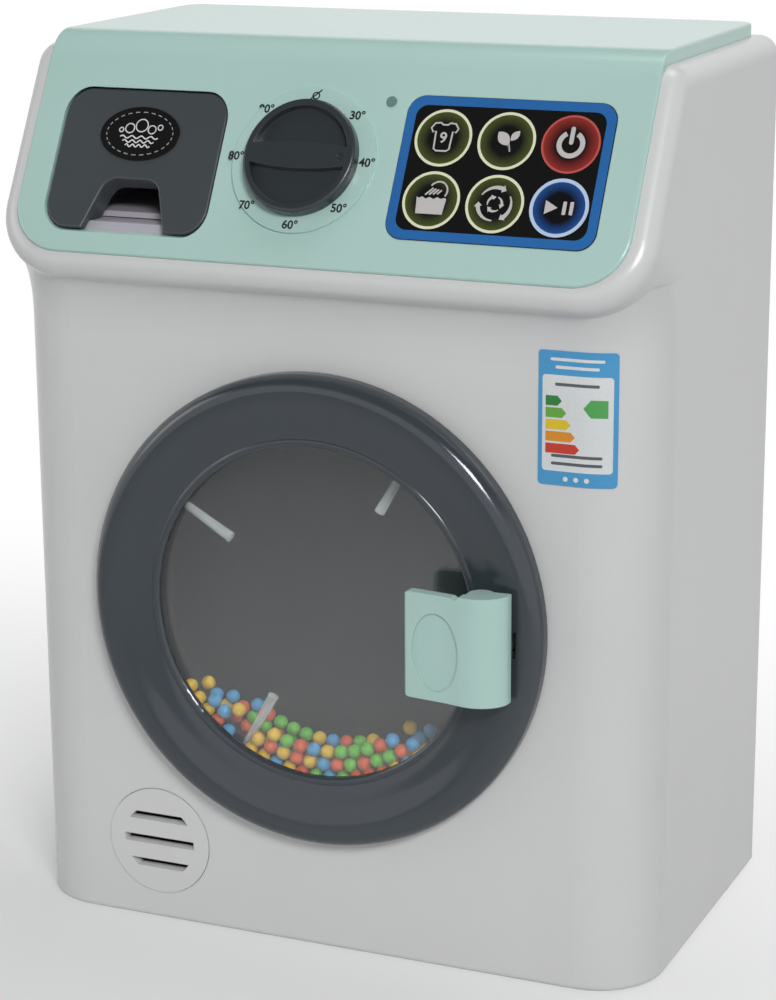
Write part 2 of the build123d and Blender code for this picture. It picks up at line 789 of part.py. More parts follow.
def notch_shape(margin):
    """Arched finger notch, open at the bottom of the drawer plate."""
    low, top = NOTCH_LOW - margin, NOTCH_TOP + margin
    wide, narrow = NOTCH_HALF_LOW + margin, NOTCH_HALF_TOP + margin
    outline = Polyline((-wide, low), (wide, low), (narrow, top), (-narrow, top), close=True)
    face = make_face(outline)
    return fillet(face.vertices().group_by(Axis.Y)[-1], NOTCH_R + margin)


def lies_in(plane, edge):
    heights = [plane.to_local_coords(edge @ share).Z for share in (0, 0.5, 1)]
    return max(heights) - min(heights) < 0.01 and abs(heights[0]) < 0.01


def drawer_front():
    plate_back = DRAWER_SUNK - DRAWER_PLATE
    block = drawer_prism(0, -2 * LATCH_REACH, CASE_DEPTH / 2)
    size = Rectangle(2 * WIDTH, 2 * WIDTH)
    plate = block & inlay(size, plate_back, DRAWER_SUNK)
    arch = inlay(notch_shape(NOTCH_WALL), plate_back - NOTCH_DEEP, plate_back, DRAWER_X)
    above = slab(Rectangle(DRAWER_W, HEIGHT - TRAY_LOW), -WIDTH, WIDTH, DRAWER_X, (HEIGHT + TRAY_LOW) / 2)
    plate += block & arch & above
    plate -= inlay(notch_shape(0), plate_back - 2 * NOTCH_DEEP, 1, DRAWER_X)
    top = fascia(lift=DRAWER_SUNK)
    rim = [edge for edge in plate.edges() if lies_in(top, edge)]
    return fillet(rim, DRAWER_EDGE_R)


def drawer_badge():
    shape = Ellipse(BADGE_W / 2, BADGE_H / 2)
    badge = inlay(shape, DRAWER_SUNK, DRAWER_SUNK + BADGE_PROUD, BADGE_X, BADGE_RISE)
    return badge


def tray_block(inset, low, back):
    """Box of the tray behind the drawer plate."""
    width = TRAY_W - 2 * inset
    block = slab(Rectangle(width, TRAY_TOP - low), -2 * LATCH_REACH, back, DRAWER_X, (low + TRAY_TOP) / 2)
    behind = inlay(Rectangle(2 * WIDTH, 2 * WIDTH), -WIDTH, DRAWER_SUNK - DRAWER_PLATE)
    return block & behind


def drawer_tray():
    back = TRAY_BACK - FRONT_Y
    tray = tray_block(0, TRAY_LOW, back)
    tray -= tray_block(TRAY_WALL, TRAY_LOW + TRAY_WALL, back - TRAY_WALL) + slab(
        Rectangle(TRAY_W - 2 * TRAY_WALL, 2 * WALL), -LATCH_REACH, back - TRAY_WALL, DRAWER_X, TRAY_TOP)
    wall = inlay(notch_shape(NOTCH_WALL + 0.1), -NOTCH_DEEP * 2, 0, DRAWER_X)
    return tray - wall


def drawer_guide():
    """Fixed channel round the tray, on a flange behind the fascia."""
    inner_w = TRAY_W + 2 * GUIDE_GAP
    outer_w = inner_w + 2 * GUIDE_WALL
    floor = TRAY_LOW - FIT
    back = TRAY_BACK - FRONT_Y + FIT
    low = floor - GUIDE_WALL
    outer = Rectangle(outer_w, GUIDE_TOP - low)
    channel = slab(outer, -LATCH_REACH, back + GUIDE_WALL, DRAWER_X, (GUIDE_TOP + low) / 2)
    inner = Rectangle(inner_w, GUIDE_TOP - floor)
    channel -= slab(inner, -2 * LATCH_REACH, back, DRAWER_X, (GUIDE_TOP + floor) / 2)
    channel &= inlay(Rectangle(2 * WIDTH, 2 * WIDTH), -WIDTH, PLUG_BACK - GUIDE_FLANGE_THICK)
    flange = drawer_prism(DRAWER_GAP + GUIDE_FLANGE, -LATCH_REACH, CASE_DEPTH / 2)
    flange &= inlay(Rectangle(2 * WIDTH, 2 * WIDTH), PLUG_BACK - GUIDE_FLANGE_THICK, PLUG_BACK)
    ear = Circle(HEAD_R + SCREW_WALL)
    ears = [inlay(ear, PLUG_BACK - GUIDE_FLANGE_THICK, PLUG_BACK, x, rise) for x, rise in guide_ears()]
    flange = merged([flange] + ears)
    window_low = floor
    window = Rectangle(DRAWER_W + DRAWER_GAP, DRAWER_HIGH - window_low)
    flange -= slab(window, -LATCH_REACH, CASE_DEPTH / 2, DRAWER_X, (DRAWER_HIGH + window_low) / 2)
    for x, rise in guide_ears():
        flange -= inlay(Circle(SHANK_R), PLUG_BACK - 2 * GUIDE_FLANGE_THICK, PLUG_BACK + 1, x, rise)
    return flange + channel


# Dial

def grip_shape():
    """Lens shaped grip across the knob."""
    offset = GRIP_ARC_R - GRIP_HALF
    return (Pos(0, offset) * Circle(GRIP_ARC_R)) & (Pos(0, -offset) * Circle(GRIP_ARC_R))


def dial_knob():
    top = KNOB_LOW + KNOB_H
    knob = Cylinder(KNOB_R, KNOB_H)
    knob = fillet(knob.edges().group_by(Axis.Z)[-1], KNOB_EDGE_R)
    hollow = Circle(KNOB_R - KNOB_RIM) - grip_shape()
    knob -= Pos(0, 0, KNOB_H / 2 - KNOB_HOLLOW) * extrude(hollow, KNOB_H)
    knob -= Pos(POINTER_X, 0, KNOB_H / 2) * Cylinder(POINTER_R, 2 * POINTER_DEEP)
    hub_len = KNOB_LOW - PLUG_BACK
    knob += Pos(0, 0, -KNOB_H / 2 - hub_len / 2) * Cylinder(KNOB_HUB_R, hub_len)
    socket = hub_len + KNOB_H - KNOB_HOLLOW - 1
    knob -= Pos(0, 0, -KNOB_H / 2 - hub_len + socket / 2) * Cylinder(SPINDLE_R, socket)
    return fascia(DIAL_X, DIAL_RISE, (KNOB_LOW + top) / 2).location * knob


def spindle_top():
    hub_len = KNOB_LOW - PLUG_BACK
    return KNOB_LOW - hub_len + (hub_len + KNOB_H - KNOB_HOLLOW - 1)


def dial_spindle():
    return inlay(Circle(SPINDLE_R), BOARD_TOP + 1, spindle_top(), DIAL_X, DIAL_RISE)


def dial_switch():
    body = inlay(Rectangle(SWITCH_W, SWITCH_W), BOARD_TOP, BOARD_TOP + SWITCH_H, DIAL_X, DIAL_RISE)
    body += inlay(Circle(SWITCH_NECK_R), BOARD_TOP + SWITCH_H, PLUG_BACK - 2 * FIT, DIAL_X, DIAL_RISE)
    return body - inlay(Circle(SPINDLE_R + RUN), BOARD_TOP + 1, 0, DIAL_X, DIAL_RISE)


# Touch panel, lamp and board

def touch_panel():
    return inlay(RectangleRounded(PANEL_W, PANEL_H, PANEL_R), -PANEL_SUNK, PANEL_PROUD, PANEL_X, PANEL_RISE)


def indicator_lens():
    lens = inlay(Circle(LAMP_R), PLUG_BACK, 0.3, LAMP_X, LAMP_RISE)
    return lens + inlay(Circle(LAMP_FLANGE_R), PLUG_BACK - LAMP_FLANGE, PLUG_BACK, LAMP_X, LAMP_RISE)


def indicator_led():
    top = PLUG_BACK - LAMP_FLANGE - FIT
    return inlay(Circle(LAMP_R), BOARD_TOP, top, LAMP_X, LAMP_RISE)


def control_board():
    board = inlay(Rectangle(BOARD_W, BOARD_H), BOARD_TOP - BOARD_THICK, BOARD_TOP, BOARD_X, BOARD_RISE)
    for x, rise in board_corners():
        board -= inlay(Circle(SHANK_R), BOARD_TOP - 2 * BOARD_THICK, BOARD_TOP + 1, x, rise)
    return board


def key_places():
    places = []
    for column in (-1, 0, 1):
        for row in (-0.5, 0.5):
            places.append((PANEL_X + column * KEY_PITCH_X, PANEL_RISE - 0.3 + row * KEY_PITCH_RISE))
    return places


def panel_lamps():
    lamp = Rectangle(KEY_LAMP_W, KEY_LAMP_H)
    return group(inlay(lamp, BOARD_TOP, BOARD_TOP + KEY_LAMP_TALL, x, rise) for x, rise in key_places())


def board_chips():
    low = BOARD_TOP - BOARD_THICK
    chip = inlay(Rectangle(CHIP_W, CHIP_H), low - CHIP_TALL, low, BOARD_X, BOARD_RISE)
    parts = [chip]
    for offset in (CHIP_W + CAPACITOR_R, CHIP_W + 4 * CAPACITOR_R):
        parts.append(inlay(Circle(CAPACITOR_R), low - CAPACITOR_TALL, low, BOARD_X + offset, BOARD_RISE))
    return group(parts)


# Door

def ring_point(radius, proud):
    return (radius, FRONT_Y - proud)


def ring_front():
    """Front of the door ring: a bead round the window, a hollow slope, a crest and a round edge."""
    bead_r = (RING_BORE + RING_LIP_R) / 2
    turn = RING_EDGE_R * sqrt(0.5)
    edge_proud = RING_CREST - RING_EDGE_R
    bead_top = ring_point(bead_r, RING_LIP + RING_BEAD)
    bead = ThreePointArc(ring_point(RING_BORE, RING_STEP), bead_top, ring_point(RING_LIP_R, RING_LIP))
    waist = [(RING_LIP_R, RING_LIP), (RING_WAIST_R, RING_WAIST), (RING_CREST_R, RING_CREST)]
    slope = Spline(*[ring_point(*place) for place in waist], tangents=((1, -RING_BEAD), (1, 0)))
    shoulder = ring_point(RING_CREST_R + turn, edge_proud + turn)
    edge = ThreePointArc(ring_point(RING_CREST_R, RING_CREST), shoulder, ring_point(RING_R, edge_proud))
    return [bead, slope, edge]


def ring_back():
    """Back of the door ring, from the outer edge in to the window seat."""
    inner = RING_R - RING_OUTER_WALL
    groove_top = RING_CREST - RING_WALL
    groove_low = RING_LIP - RING_BEAD
    seat = WINDOW_FRONT - WINDOW_THICK
    rebate = RETAINER_OUT + RUN
    pocket = WINDOW_R + RUN
    points = [(RING_R, RING_CREST - RING_EDGE_R), (RING_R, RING_REAR), (inner, RING_REAR)]
    points += [(inner, RING_CREST - RING_EDGE_R), (RING_CREST_R, groove_top), (GROOVE_IN, groove_low)]
    points += [(GROOVE_IN, seat - RETAINER_THICK), (rebate, seat - RETAINER_THICK), (rebate, seat)]
    points += [(pocket, seat), (pocket, WINDOW_FRONT), (RING_BORE, WINDOW_FRONT), (RING_BORE, RING_STEP)]
    return Polyline(*[ring_point(*place) for place in points])


def hinge_rod(radius, length, z=DOOR_Z):
    x, y = top_point(HINGE_X, HINGE_PROUD)
    return Pos(x, y, z) * Cylinder(radius, length)


def door_ring():
    section = make_face([*ring_front(), ring_back()])
    ring = Pos(0, 0, DOOR_Z) * revolve(section, Axis.Y)
    ring += hinge_rod(HINGE_BLOCK_R, HINGE_BLOCK_LEN) & spun(ring_hull(), 0, DOOR_Z)
    low = HINGE_PROUD + WALL
    trim = Box(LATCH_REACH, low, HINGE_TRIM_H)
    trim = Pos(HINGE_X - LATCH_REACH / 2, FRONT_Y - HINGE_PROUD + low / 2, DOOR_Z) * trim
    ring -= trim - hinge_rod(HINGE_SWEEP, HINGE_TRIM_H)
    ring -= hinge_rod(HINGE_PIN_R + RUN, HINGE_PIN_LEN + FIT)
    for offset in (-EAR_SPACING, EAR_SPACING):
        slot = EAR_W + 2 * FIT
        ring -= hinge_rod(EAR_SLOT_R, slot, DOOR_Z + offset)
        reach = EAR_ARM_HIGH + FIT + WALL
        x, y = top_point(HINGE_X + (2 * EAR_SLOT_R - EAR_SWEEP) / 2, EAR_ARM_HIGH + FIT - reach / 2)
        ring -= Pos(x, y, DOOR_Z + offset) * Box(2 * EAR_SLOT_R + EAR_SWEEP, reach, slot)
    for angle in retainer_angles():
        x = RETAINER_SCREW_R * cos(radians(angle))
        z = DOOR_Z + RETAINER_SCREW_R * sin(radians(angle))
        ring -= rod(RETAINER_SHANK_R, -WINDOW_FRONT - RETAINER_BITE, 0, x, z)
    ring -= nose_slot(-LATCH_REACH, 1, FIT)
    for z in lug_heights():
        ring += Pos(0, 0, z) * latch_lug()
    return ring


def ring_hull():
    """Solid disc inside the front surface of the ring."""
    inside = RING_WALL / 2
    edge = RING_CREST - RING_EDGE_R
    points = [(GROOVE_IN, RING_REAR), (GROOVE_IN, RING_LIP - inside), (RING_CREST_R, RING_CREST - inside)]
    points += [(RING_R - inside, edge), (RING_R - inside, RING_REAR)]
    return [(radius, -proud) for radius, proud in points]


def retainer_angles():
    return [45, 135, 225, 315]


def door_window():
    return rod(WINDOW_R, -WINDOW_FRONT, -WINDOW_FRONT + WINDOW_THICK, 0, DOOR_Z)


def window_retainer():
    low = -WINDOW_FRONT + WINDOW_THICK
    ring = tube(RETAINER_OUT, RETAINER_IN, low, low + RETAINER_THICK, 0, DOOR_Z)
    for angle in retainer_angles():
        x = RETAINER_SCREW_R * cos(radians(angle))
        z = DOOR_Z + RETAINER_SCREW_R * sin(radians(angle))
        ring -= backing(low + RETAINER_THICK, x, z) * retainer_screw(0.05)
    return ring


def retainer_screw(margin):
    head_h = RETAINER_THICK * 0.8
    shank_r = RETAINER_SHANK_R + margin / 2
    return sunk_screw(RETAINER_HEAD_R + margin, head_h, shank_r, RETAINER_SCREW_LEN - margin)


def retainer_screws():
    low = -WINDOW_FRONT + WINDOW_THICK + RETAINER_THICK
    screws = []
    for angle in retainer_angles():
        x = RETAINER_SCREW_R * cos(radians(angle))
        z = DOOR_Z + RETAINER_SCREW_R * sin(radians(angle))
        screws.append(backing(low, x, z) * retainer_screw(0))
    return group(screws)


def hinge_pin():
    return hinge_rod(HINGE_PIN_R, HINGE_PIN_LEN)


# Latch

def lug_heights():
    reach = LATCH_H / 2 - LATCH_END_WALL - FIT - LATCH_LUG_W / 2
    return [LATCH_Z - reach, LATCH_Z + reach]


def latch_lug():
    """Bracket of the door ring that holds the latch pin."""
    foot = 2 * LATCH_BOSS_R
    height = LATCH_PROUD - RING_LIP - RING_WALL / 2
    shape = Pos(*top_point(LATCH_X, LATCH_PROUD)) * Circle(LATCH_BOSS_R)
    shape += Pos(*top_point(LATCH_X, LATCH_PROUD - height / 2)) * Rectangle(foot, height)
    shape -= Pos(*top_point(LATCH_X, LATCH_PROUD)) * Circle(LATCH_PIN_R)
    return extrude(shape, LATCH_LUG_W / 2, both=True)


def paddle_point(share, deep=0):
    """Place on the straight paddle, from its tip at 0 to the crest over the pin at 1."""
    x = LATCH_LEFT + (LATCH_X - LATCH_LEFT) * share
    return (x, LATCH_TIP + (LATCH_CREST - LATCH_TIP) * share - deep)


def latch_curve():
    """Front surface of the latch seen from above, from the paddle tip to the right edge."""
    points = [paddle_point(share) for share in (0, 0.3, 0.65, 1)]
    points += [(LATCH_RIGHT - LATCH_SHOULDER, LATCH_CREST - LATCH_SHOULDER_DROP), (LATCH_RIGHT, LATCH_SIDE)]
    return Spline(*[top_point(x, proud) for x, proud in points])


def latch_section():
    skin = latch_curve()
    start, end = skin.position_at(0), skin.position_at(1)
    tip = top_point(LATCH_LEFT - 1, LATCH_TIP - LATCH_SKIN / 2)
    foot = LATCH_SIDE - FIT
    inner = [(LATCH_RIGHT, foot), (LATCH_RIGHT - LATCH_SHOULDER, foot)]
    inner += [(LATCH_X + LATCH_SKIN, LATCH_CREST - 1.5 * LATCH_SKIN)]
    inner += [paddle_point(share, LATCH_SKIN) for share in (1, 0)]
    nose = Line((start.X, start.Y), tip)
    back = Polyline((end.X, end.Y), *[top_point(x, proud) for x, proud in inner], tip)
    return make_face([skin, back, nose])


def latch_end_section():
    """Closed ends of the barrel, round the pin."""
    barrel_r = LATCH_BOSS_R + RING_WALL / 2
    barrel = Pos(*top_point(LATCH_X, LATCH_PROUD)) * Circle(barrel_r)
    web = Pos(*top_point(LATCH_X, LATCH_PROUD + LATCH_SKIN / 2)) * Rectangle(2 * barrel_r, LATCH_SKIN)
    shoulder = LATCH_CREST - LATCH_SKIN + RUN
    corners = [(LATCH_X, LATCH_SIDE), (LATCH_RIGHT, LATCH_SIDE - FIT)]
    corners += [(LATCH_RIGHT - LATCH_SHOULDER, shoulder), (LATCH_X, shoulder)]
    right = make_face(Polyline(*[top_point(x, proud) for x, proud in corners], close=True))
    return latch_section() + barrel + web + right


def latch_handle():
    half = LATCH_H / 2
    body = level(latch_section(), LATCH_Z - half, LATCH_Z + half)
    for low in (LATCH_Z - half, LATCH_Z + half - LATCH_END_WALL):
        body += level(latch_end_section(), low, low + LATCH_END_WALL)
    body &= slab(latch_face_shape(), -2 * LATCH_REACH, 0, 0, LATCH_Z)
    root = LATCH_CREST - LATCH_SKIN - 1
    centre = top_point(LATCH_NOSE_X + LATCH_NOSE_W / 2, (LATCH_NOSE_TIP + root) / 2)
    nose = Pos(*centre) * Rectangle(LATCH_NOSE_W, root - LATCH_NOSE_TIP)
    body += level(nose, LATCH_Z - LATCH_NOSE_H / 2, LATCH_Z + LATCH_NOSE_H / 2)
    bore = Cylinder(LATCH_PIN_R + RUN, LATCH_H - LATCH_END_WALL)
    body -= Pos(*top_point(LATCH_X, LATCH_PROUD), LATCH_Z) * bore
    return body - latch_dimple()


def latch_face_shape():
    """Front view of the latch: rounded paddle corners and a small notch in the top edge."""
    half = LATCH_H / 2
    left, right = LATCH_LEFT - LATCH_NOTCH, LATCH_RIGHT + LATCH_STEP
    points = [(left, -half), (right, -half), (right, half), (LATCH_NOTCH_X + LATCH_NOTCH, half)]
    points += [(LATCH_NOTCH_X, half - 2 * LATCH_STEP), (LATCH_NOTCH_X - LATCH_NOTCH, half - LATCH_STEP)]
    points += [(left, half - LATCH_STEP)]
    face = make_face(Polyline(*points, close=True))
    tips = face.vertices().group_by(Axis.X)[0]
    return fillet(tips, LATCH_CORNER_R)


def latch_dimple():
    """Oval thumb rest, following the paddle."""
    oval = slab(Ellipse(DIMPLE_W / 2, DIMPLE_H / 2), -2 * LATCH_REACH, 0, DIMPLE_X, LATCH_Z - DIMPLE_DROP)
    shell = level(latch_section(), LATCH_Z - LATCH_H, LATCH_Z + LATCH_H)
    lowered = Pos(0, DIMPLE_DEEP, 0) * level(latch_cutter(), LATCH_Z - LATCH_H, LATCH_Z + LATCH_H)
    return (oval & shell) - lowered


def latch_cutter():
    """Everything behind the front surface of the paddle."""
    skin = latch_curve()
    start, end = skin.position_at(0), skin.position_at(1)
    close = Polyline((end.X, end.Y), (end.X, FRONT_Y), (start.X, FRONT_Y), (start.X, start.Y))
    return make_face([skin, close])


def latch_pin():
    pin = Cylinder(LATCH_PIN_R, LATCH_H - LATCH_END_WALL - 2 * FIT)
    return Pos(*top_point(LATCH_X, LATCH_PROUD), LATCH_Z) * pin


def latch_spring():
    """Coil round the pin, between the upper lug and the nose."""
    top = lug_heights()[1] - LATCH_LUG_W / 2
    path = Helix(COIL_PITCH, COIL_LEN, COIL_R)
    wire = Plane(path.position_at(0), z_dir=path.tangent_at(0)) * Rectangle(COIL_WIRE, COIL_WIRE)
    coil = sweep(wire, path, is_frenet=True)
    low = top - COIL_LEN - COIL_WIRE / 2
    return Pos(*top_point(LATCH_X, LATCH_PROUD), low) * coil


def latch_keeper():
    plate = slab(Rectangle(KEEPER_W, KEEPER_H), WALL, WALL + KEEPER_THICK, KEEPER_X, LATCH_Z)
    plate -= nose_slot(0, 2 * WALL, 0)
    return plate


# Drum

def drum_window():
    return rod(DRUM_R, DRUM_FRONT, CHAMBER_FRONT, 0, DOOR_Z)


def drum_shell():
    shell = rod(DRUM_R, CHAMBER_FRONT, DRUM_BACK, 0, DOOR_Z)
    shell -= rod(DRUM_INNER, CHAMBER_FRONT - 1, CHAMBER_BACK, 0, DOOR_Z)
    shell += rod(HUB_R, DRUM_BACK, DRUM_BACK + HUB_LEN, 0, DOOR_Z)
    return shell - rod(SHAFT_R, DRUM_BACK, TUB_BACK, 0, DOOR_Z)


def drum_pin():
    """Clear agitator pin, pointing inwards from the rim along X."""
    length = DRUM_INNER - PIN_TIP_R
    cone = Cone(PIN_RIM_RADIUS, PIN_TIP_RADIUS, length)
    lean = degrees(PIN_LEAN / length)
    middle = (DRUM_INNER + PIN_TIP_R) / 2
    pin = Pos(middle, 0, 0) * Rot(0, 0, lean) * Rot(0, -90, 0) * cone
    rim = Pos(DRUM_INNER, 0, 0) * Rot(90, 0, 0) * Box(PIN_RIM_RADIUS, PIN_RIM_RADIUS, PIN_RIM_RADIUS)
    block = Rot(90, 0, 0) * Cylinder(DRUM_INNER, CHAMBER)
    return (pin + rim) & block


def drum_pins():
    pins = []
    for step in range(PIN_COUNT):
        angle = PIN_START + step * 360 / PIN_COUNT
        pins.append(Pos(0, FRONT_Y + PIN_RIM_DEPTH, DOOR_Z) * Rot(0, -angle, 0) * drum_pin())
    return group(pins)


def drum_shaft():
    return rod(SHAFT_R, DRUM_BACK, GEARBOX_REAR, 0, DOOR_Z)


def shaft_clip():
    ring = Circle(CLIP_R) - Circle(SHAFT_R) - Pos(CLIP_R / 2 + 1, 0) * Rectangle(CLIP_R + 2, CLIP_GAP)
    return slab(ring, GEAR_BACK, GEAR_BACK + CLIP_THICK, 0, DOOR_Z)


def tub_lug(x, z):
    """Screw lug of the drum housing, out to one boss."""
    lug = Circle(BOSS_R)
    arm_angle = degrees(acos(x / TUB_EAR_R)) * (1 if z > DOOR_Z else -1)
    inner = (TUB_IN + TUB_OUT) / 2
    arm = Pos((inner + TUB_EAR_R) / 2 - TUB_EAR_R, 0) * Rectangle(TUB_EAR_R - inner, 2 * BOSS_R)
    arm = Rot(0, 0, arm_angle) * arm
    return slab(lug + arm, TUB_EAR_SEAT, TUB_EAR_SEAT + TUB_EAR_THICK, x, z)


def drum_housing():
    tub = rod(TUB_OUT, WALL, TUB_REAR, 0, DOOR_Z)
    for x, z in ear_places():
        tub += tub_lug(x, z)
    tub -= rod(TUB_IN, WALL - 1, TUB_BACK, 0, DOOR_Z)
    for x, z in ear_places():
        tub -= rod(SHANK_R, TUB_EAR_SEAT - 1, 2 * TUB_EAR_SEAT, x, z)
    tub += rod(BUSH_BOSS_R, TUB_REAR, BUSH_END, 0, DOOR_Z)
    tub += rod(BUSH_R, TUB_REAR, BUSH_END, IDLER_X, IDLER_Z)
    for x, z in GEARBOX_POSTS:
        tub += rod(GEARBOX_POST_R, TUB_REAR, GEARBOX_SEAT, x, z)
        tub -= rod(SHANK_R, GEARBOX_REAR - SHANK_LEN, GEARBOX_SEAT, x, z)
    tub -= rod(BUSH_R, TUB_BACK - 1, BUSH_END + 1, 0, DOOR_Z)
    return tub - rod(AXLE_R, TUB_REAR, BUSH_END + 1, IDLER_X, IDLER_Z)


def shaft_bush():
    return tube(BUSH_R, SHAFT_R + RUN, TUB_BACK, BUSH_END, 0, DOOR_Z)


# Gears

def involute_point(base_r, radius):
    """Angle of the involute at a radius."""
    if radius <= base_r:
        return 0.0
    pressure = acos(base_r / radius)
    return tan(pressure) - pressure


def gear_shape(module, teeth, turn):
    """Toothed outline with involute flanks. One tooth points along the angle turn."""
    pitch_r = module * teeth / 2
    base_r = pitch_r * cos(radians(PRESSURE_ANGLE))
    tip_r = pitch_r + module * 0.95
    root_r = pitch_r - module * 1.2
    half = pi / (2 * teeth) - BACKLASH / (2 * pitch_r) + involute_point(base_r, pitch_r)
    start_r = max(root_r, base_r)
    flank = [start_r + (tip_r - start_r) * share for share in (0, 0.45, 1)]
    points = []
    for tooth in range(teeth):
        centre = radians(turn) + 2 * pi * tooth / teeth
        sides = [(root_r, -half)] if root_r < start_r else []
        sides += [(radius, -half + involute_point(base_r, radius)) for radius in flank]
        sides += [(radius, -angle) for radius, angle in reversed(sides)]
        points += [(radius * cos(centre + angle), radius * sin(centre + angle)) for radius, angle in sides]
    return make_face(Polyline(*points, close=True))


def drum_gear():
    gear = slab(gear_shape(DRUM_MODULE, DRUM_TEETH, IDLER_ANGLE), GEAR_FRONT, GEAR_BACK, 0, DOOR_Z)
    web = (GEAR_WIDTH - WEB_THICK) / 2
    gear -= tube(WEB_OUT, WEB_IN, GEAR_BACK - web, GEAR_BACK + 1, 0, DOOR_Z)
    gear -= tube(WEB_OUT, WEB_IN, GEAR_FRONT - 1, GEAR_FRONT + web, 0, DOOR_Z)
    return gear - rod(SHAFT_R, GEAR_FRONT - 1, GEAR_BACK + 1, 0, DOOR_Z)


def idler_gear():
    small_turn = IDLER_ANGLE + 180 + 180 / IDLER_SMALL_TEETH
    small = gear_shape(DRUM_MODULE, IDLER_SMALL_TEETH, small_turn)
    large = gear_shape(MOTOR_MODULE, IDLER_LARGE_TEETH, MOTOR_ANGLE)
    gear = slab(small, GEAR_FRONT, WHEEL_FRONT, IDLER_X, IDLER_Z)
    gear += slab(large, WHEEL_FRONT, WHEEL_BACK, IDLER_X, IDLER_Z)
    gear += rod(IDLER_HUB_R, WHEEL_BACK, GEARBOX_SEAT - FIT, IDLER_X, IDLER_Z)
    return gear - rod(AXLE_R + RUN, GEAR_FRONT - 1, GEARBOX_REAR, IDLER_X, IDLER_Z)


def idler_axle():
    return rod(AXLE_R, TUB_REAR, GEARBOX_REAR, IDLER_X, IDLER_Z)


def motor_pinion():
    turn = MOTOR_ANGLE + 180 + 180 / PINION_TEETH
    pinion = slab(gear_shape(MOTOR_MODULE, PINION_TEETH, turn), PINION_FRONT, PINION_BACK, MOTOR_X, MOTOR_Z)
    return pinion - rod(MOTOR_SHAFT_R, PINION_FRONT - 1, PINION_BACK + 1, MOTOR_X, MOTOR_Z)


def motor_outline(margin):
    body = Circle(MOTOR_R + margin) & Rectangle(4 * MOTOR_R, MOTOR_FLAT + 2 * margin)
    return Pos(MOTOR_X, MOTOR_Z) * body


def gearbox_cover():
    circles = [Pos(x, z) * Circle(GEARBOX_EDGE) for x, z in GEARBOX_POSTS]
    outline = make_hull(merged(circles).edges())
    cover = slab(outline, GEARBOX_SEAT, GEARBOX_REAR)
    collar = motor_outline(MOTOR_COLLAR) - motor_outline(0)
    cover += slab(collar, GEARBOX_SEAT + 1, GEARBOX_REAR + MOTOR_COLLAR_LEN)
    for x, z in GEARBOX_POSTS:
        cover -= rod(SHANK_R, GEARBOX_SEAT - 1, GEARBOX_REAR + 1, x, z)
    cover -= rod(SHAFT_R + RUN, GEARBOX_SEAT - 1, GEARBOX_REAR + 1, 0, DOOR_Z)
    cover -= rod(AXLE_R, GEARBOX_SEAT - 1, GEARBOX_REAR + 1, IDLER_X, IDLER_Z)
    return cover - rod(MOTOR_NOSE_R, GEARBOX_SEAT - 1, GEARBOX_REAR + 1, MOTOR_X, MOTOR_Z)


def motor_end():
    return GEARBOX_REAR + MOTOR_CAN_LEN


def motor_can():
    can = slab(motor_outline(0), GEARBOX_REAR, motor_end())
    can += rod(MOTOR_NOSE_R, GEARBOX_SEAT + FIT, GEARBOX_REAR, MOTOR_X, MOTOR_Z)
    return can - rod(MOTOR_SHAFT_R + RUN, GEARBOX_SEAT, motor_end() + 1, MOTOR_X, MOTOR_Z)


def motor_cap():
    cap = slab(motor_outline(-FIT), motor_end(), motor_end() + MOTOR_CAP_LEN)
    return cap - rod(MOTOR_SHAFT_R + RUN, motor_end() - 1, motor_end() + MOTOR_CAP_LEN - 1, MOTOR_X, MOTOR_Z)


def motor_terminals():
    rear = motor_end() + MOTOR_CAP_LEN
    tab = Rectangle(TERMINAL_W, TERMINAL_THICK)
    places = (MOTOR_X - TERMINAL_X, MOTOR_X + TERMINAL_X)
    return group(slab(tab, rear, rear + TERMINAL_LEN, x, MOTOR_Z) for x in places)


def motor_shaft():
    return rod(MOTOR_SHAFT_R, PINION_FRONT, motor_end() + MOTOR_CAP_LEN - 1 - FIT, MOTOR_X, MOTOR_Z)


# Speaker and grille

def vent_grille():
    grille = rod(VENT_R, -VENT_PROUD, WALL, VENT_X, VENT_Z)
    grille += rod(VENT_FLANGE_R, WALL, WALL + VENT_FLANGE, VENT_X, VENT_Z)
    for row in (-1, 0, 1):
        middle = row * VENT_PITCH
        bar = Pos(0, middle) * Rectangle(2 * VENT_R, VENT_SLOT_H)
        slot = bar & Circle(VENT_SLOT_REACH)
        cut = slab(slot, -1, SPEAKER_SEAT + 1, VENT_X, VENT_Z)
        top = VENT_Z + middle + VENT_SLOT_H / 2
        front, back = FRONT_Y - VENT_PROUD, FRONT_Y + SPEAKER_SEAT
        outline = Polyline((front, top), (back, top), (back, top - VENT_LOUVRE), close=True)
        wedge = make_face(Plane.YZ * outline)
        blade = Pos(VENT_X, 0, 0) * extrude(wedge, VENT_R, both=True)
        grille -= cut - blade
    return grille


def speaker_rim():
    """Front view of the speaker rim with its two screw ears."""
    rim = Circle(SPEAKER_R)
    for x, z in speaker_places():
        inward = 1 if x < VENT_X else -1
        arm = Pos(inward * SPEAKER_ARM / 2, 0) * Rectangle(SPEAKER_ARM, 2 * HEAD_R)
        rim += Pos(x - VENT_X, z - VENT_Z) * (Circle(SCREW_WALL + HEAD_R) + arm)
    for x, z in speaker_places():
        rim -= Pos(x - VENT_X, z - VENT_Z) * Circle(SHANK_R)
    return rim - Circle(CONE_R + CONE_PLAY)


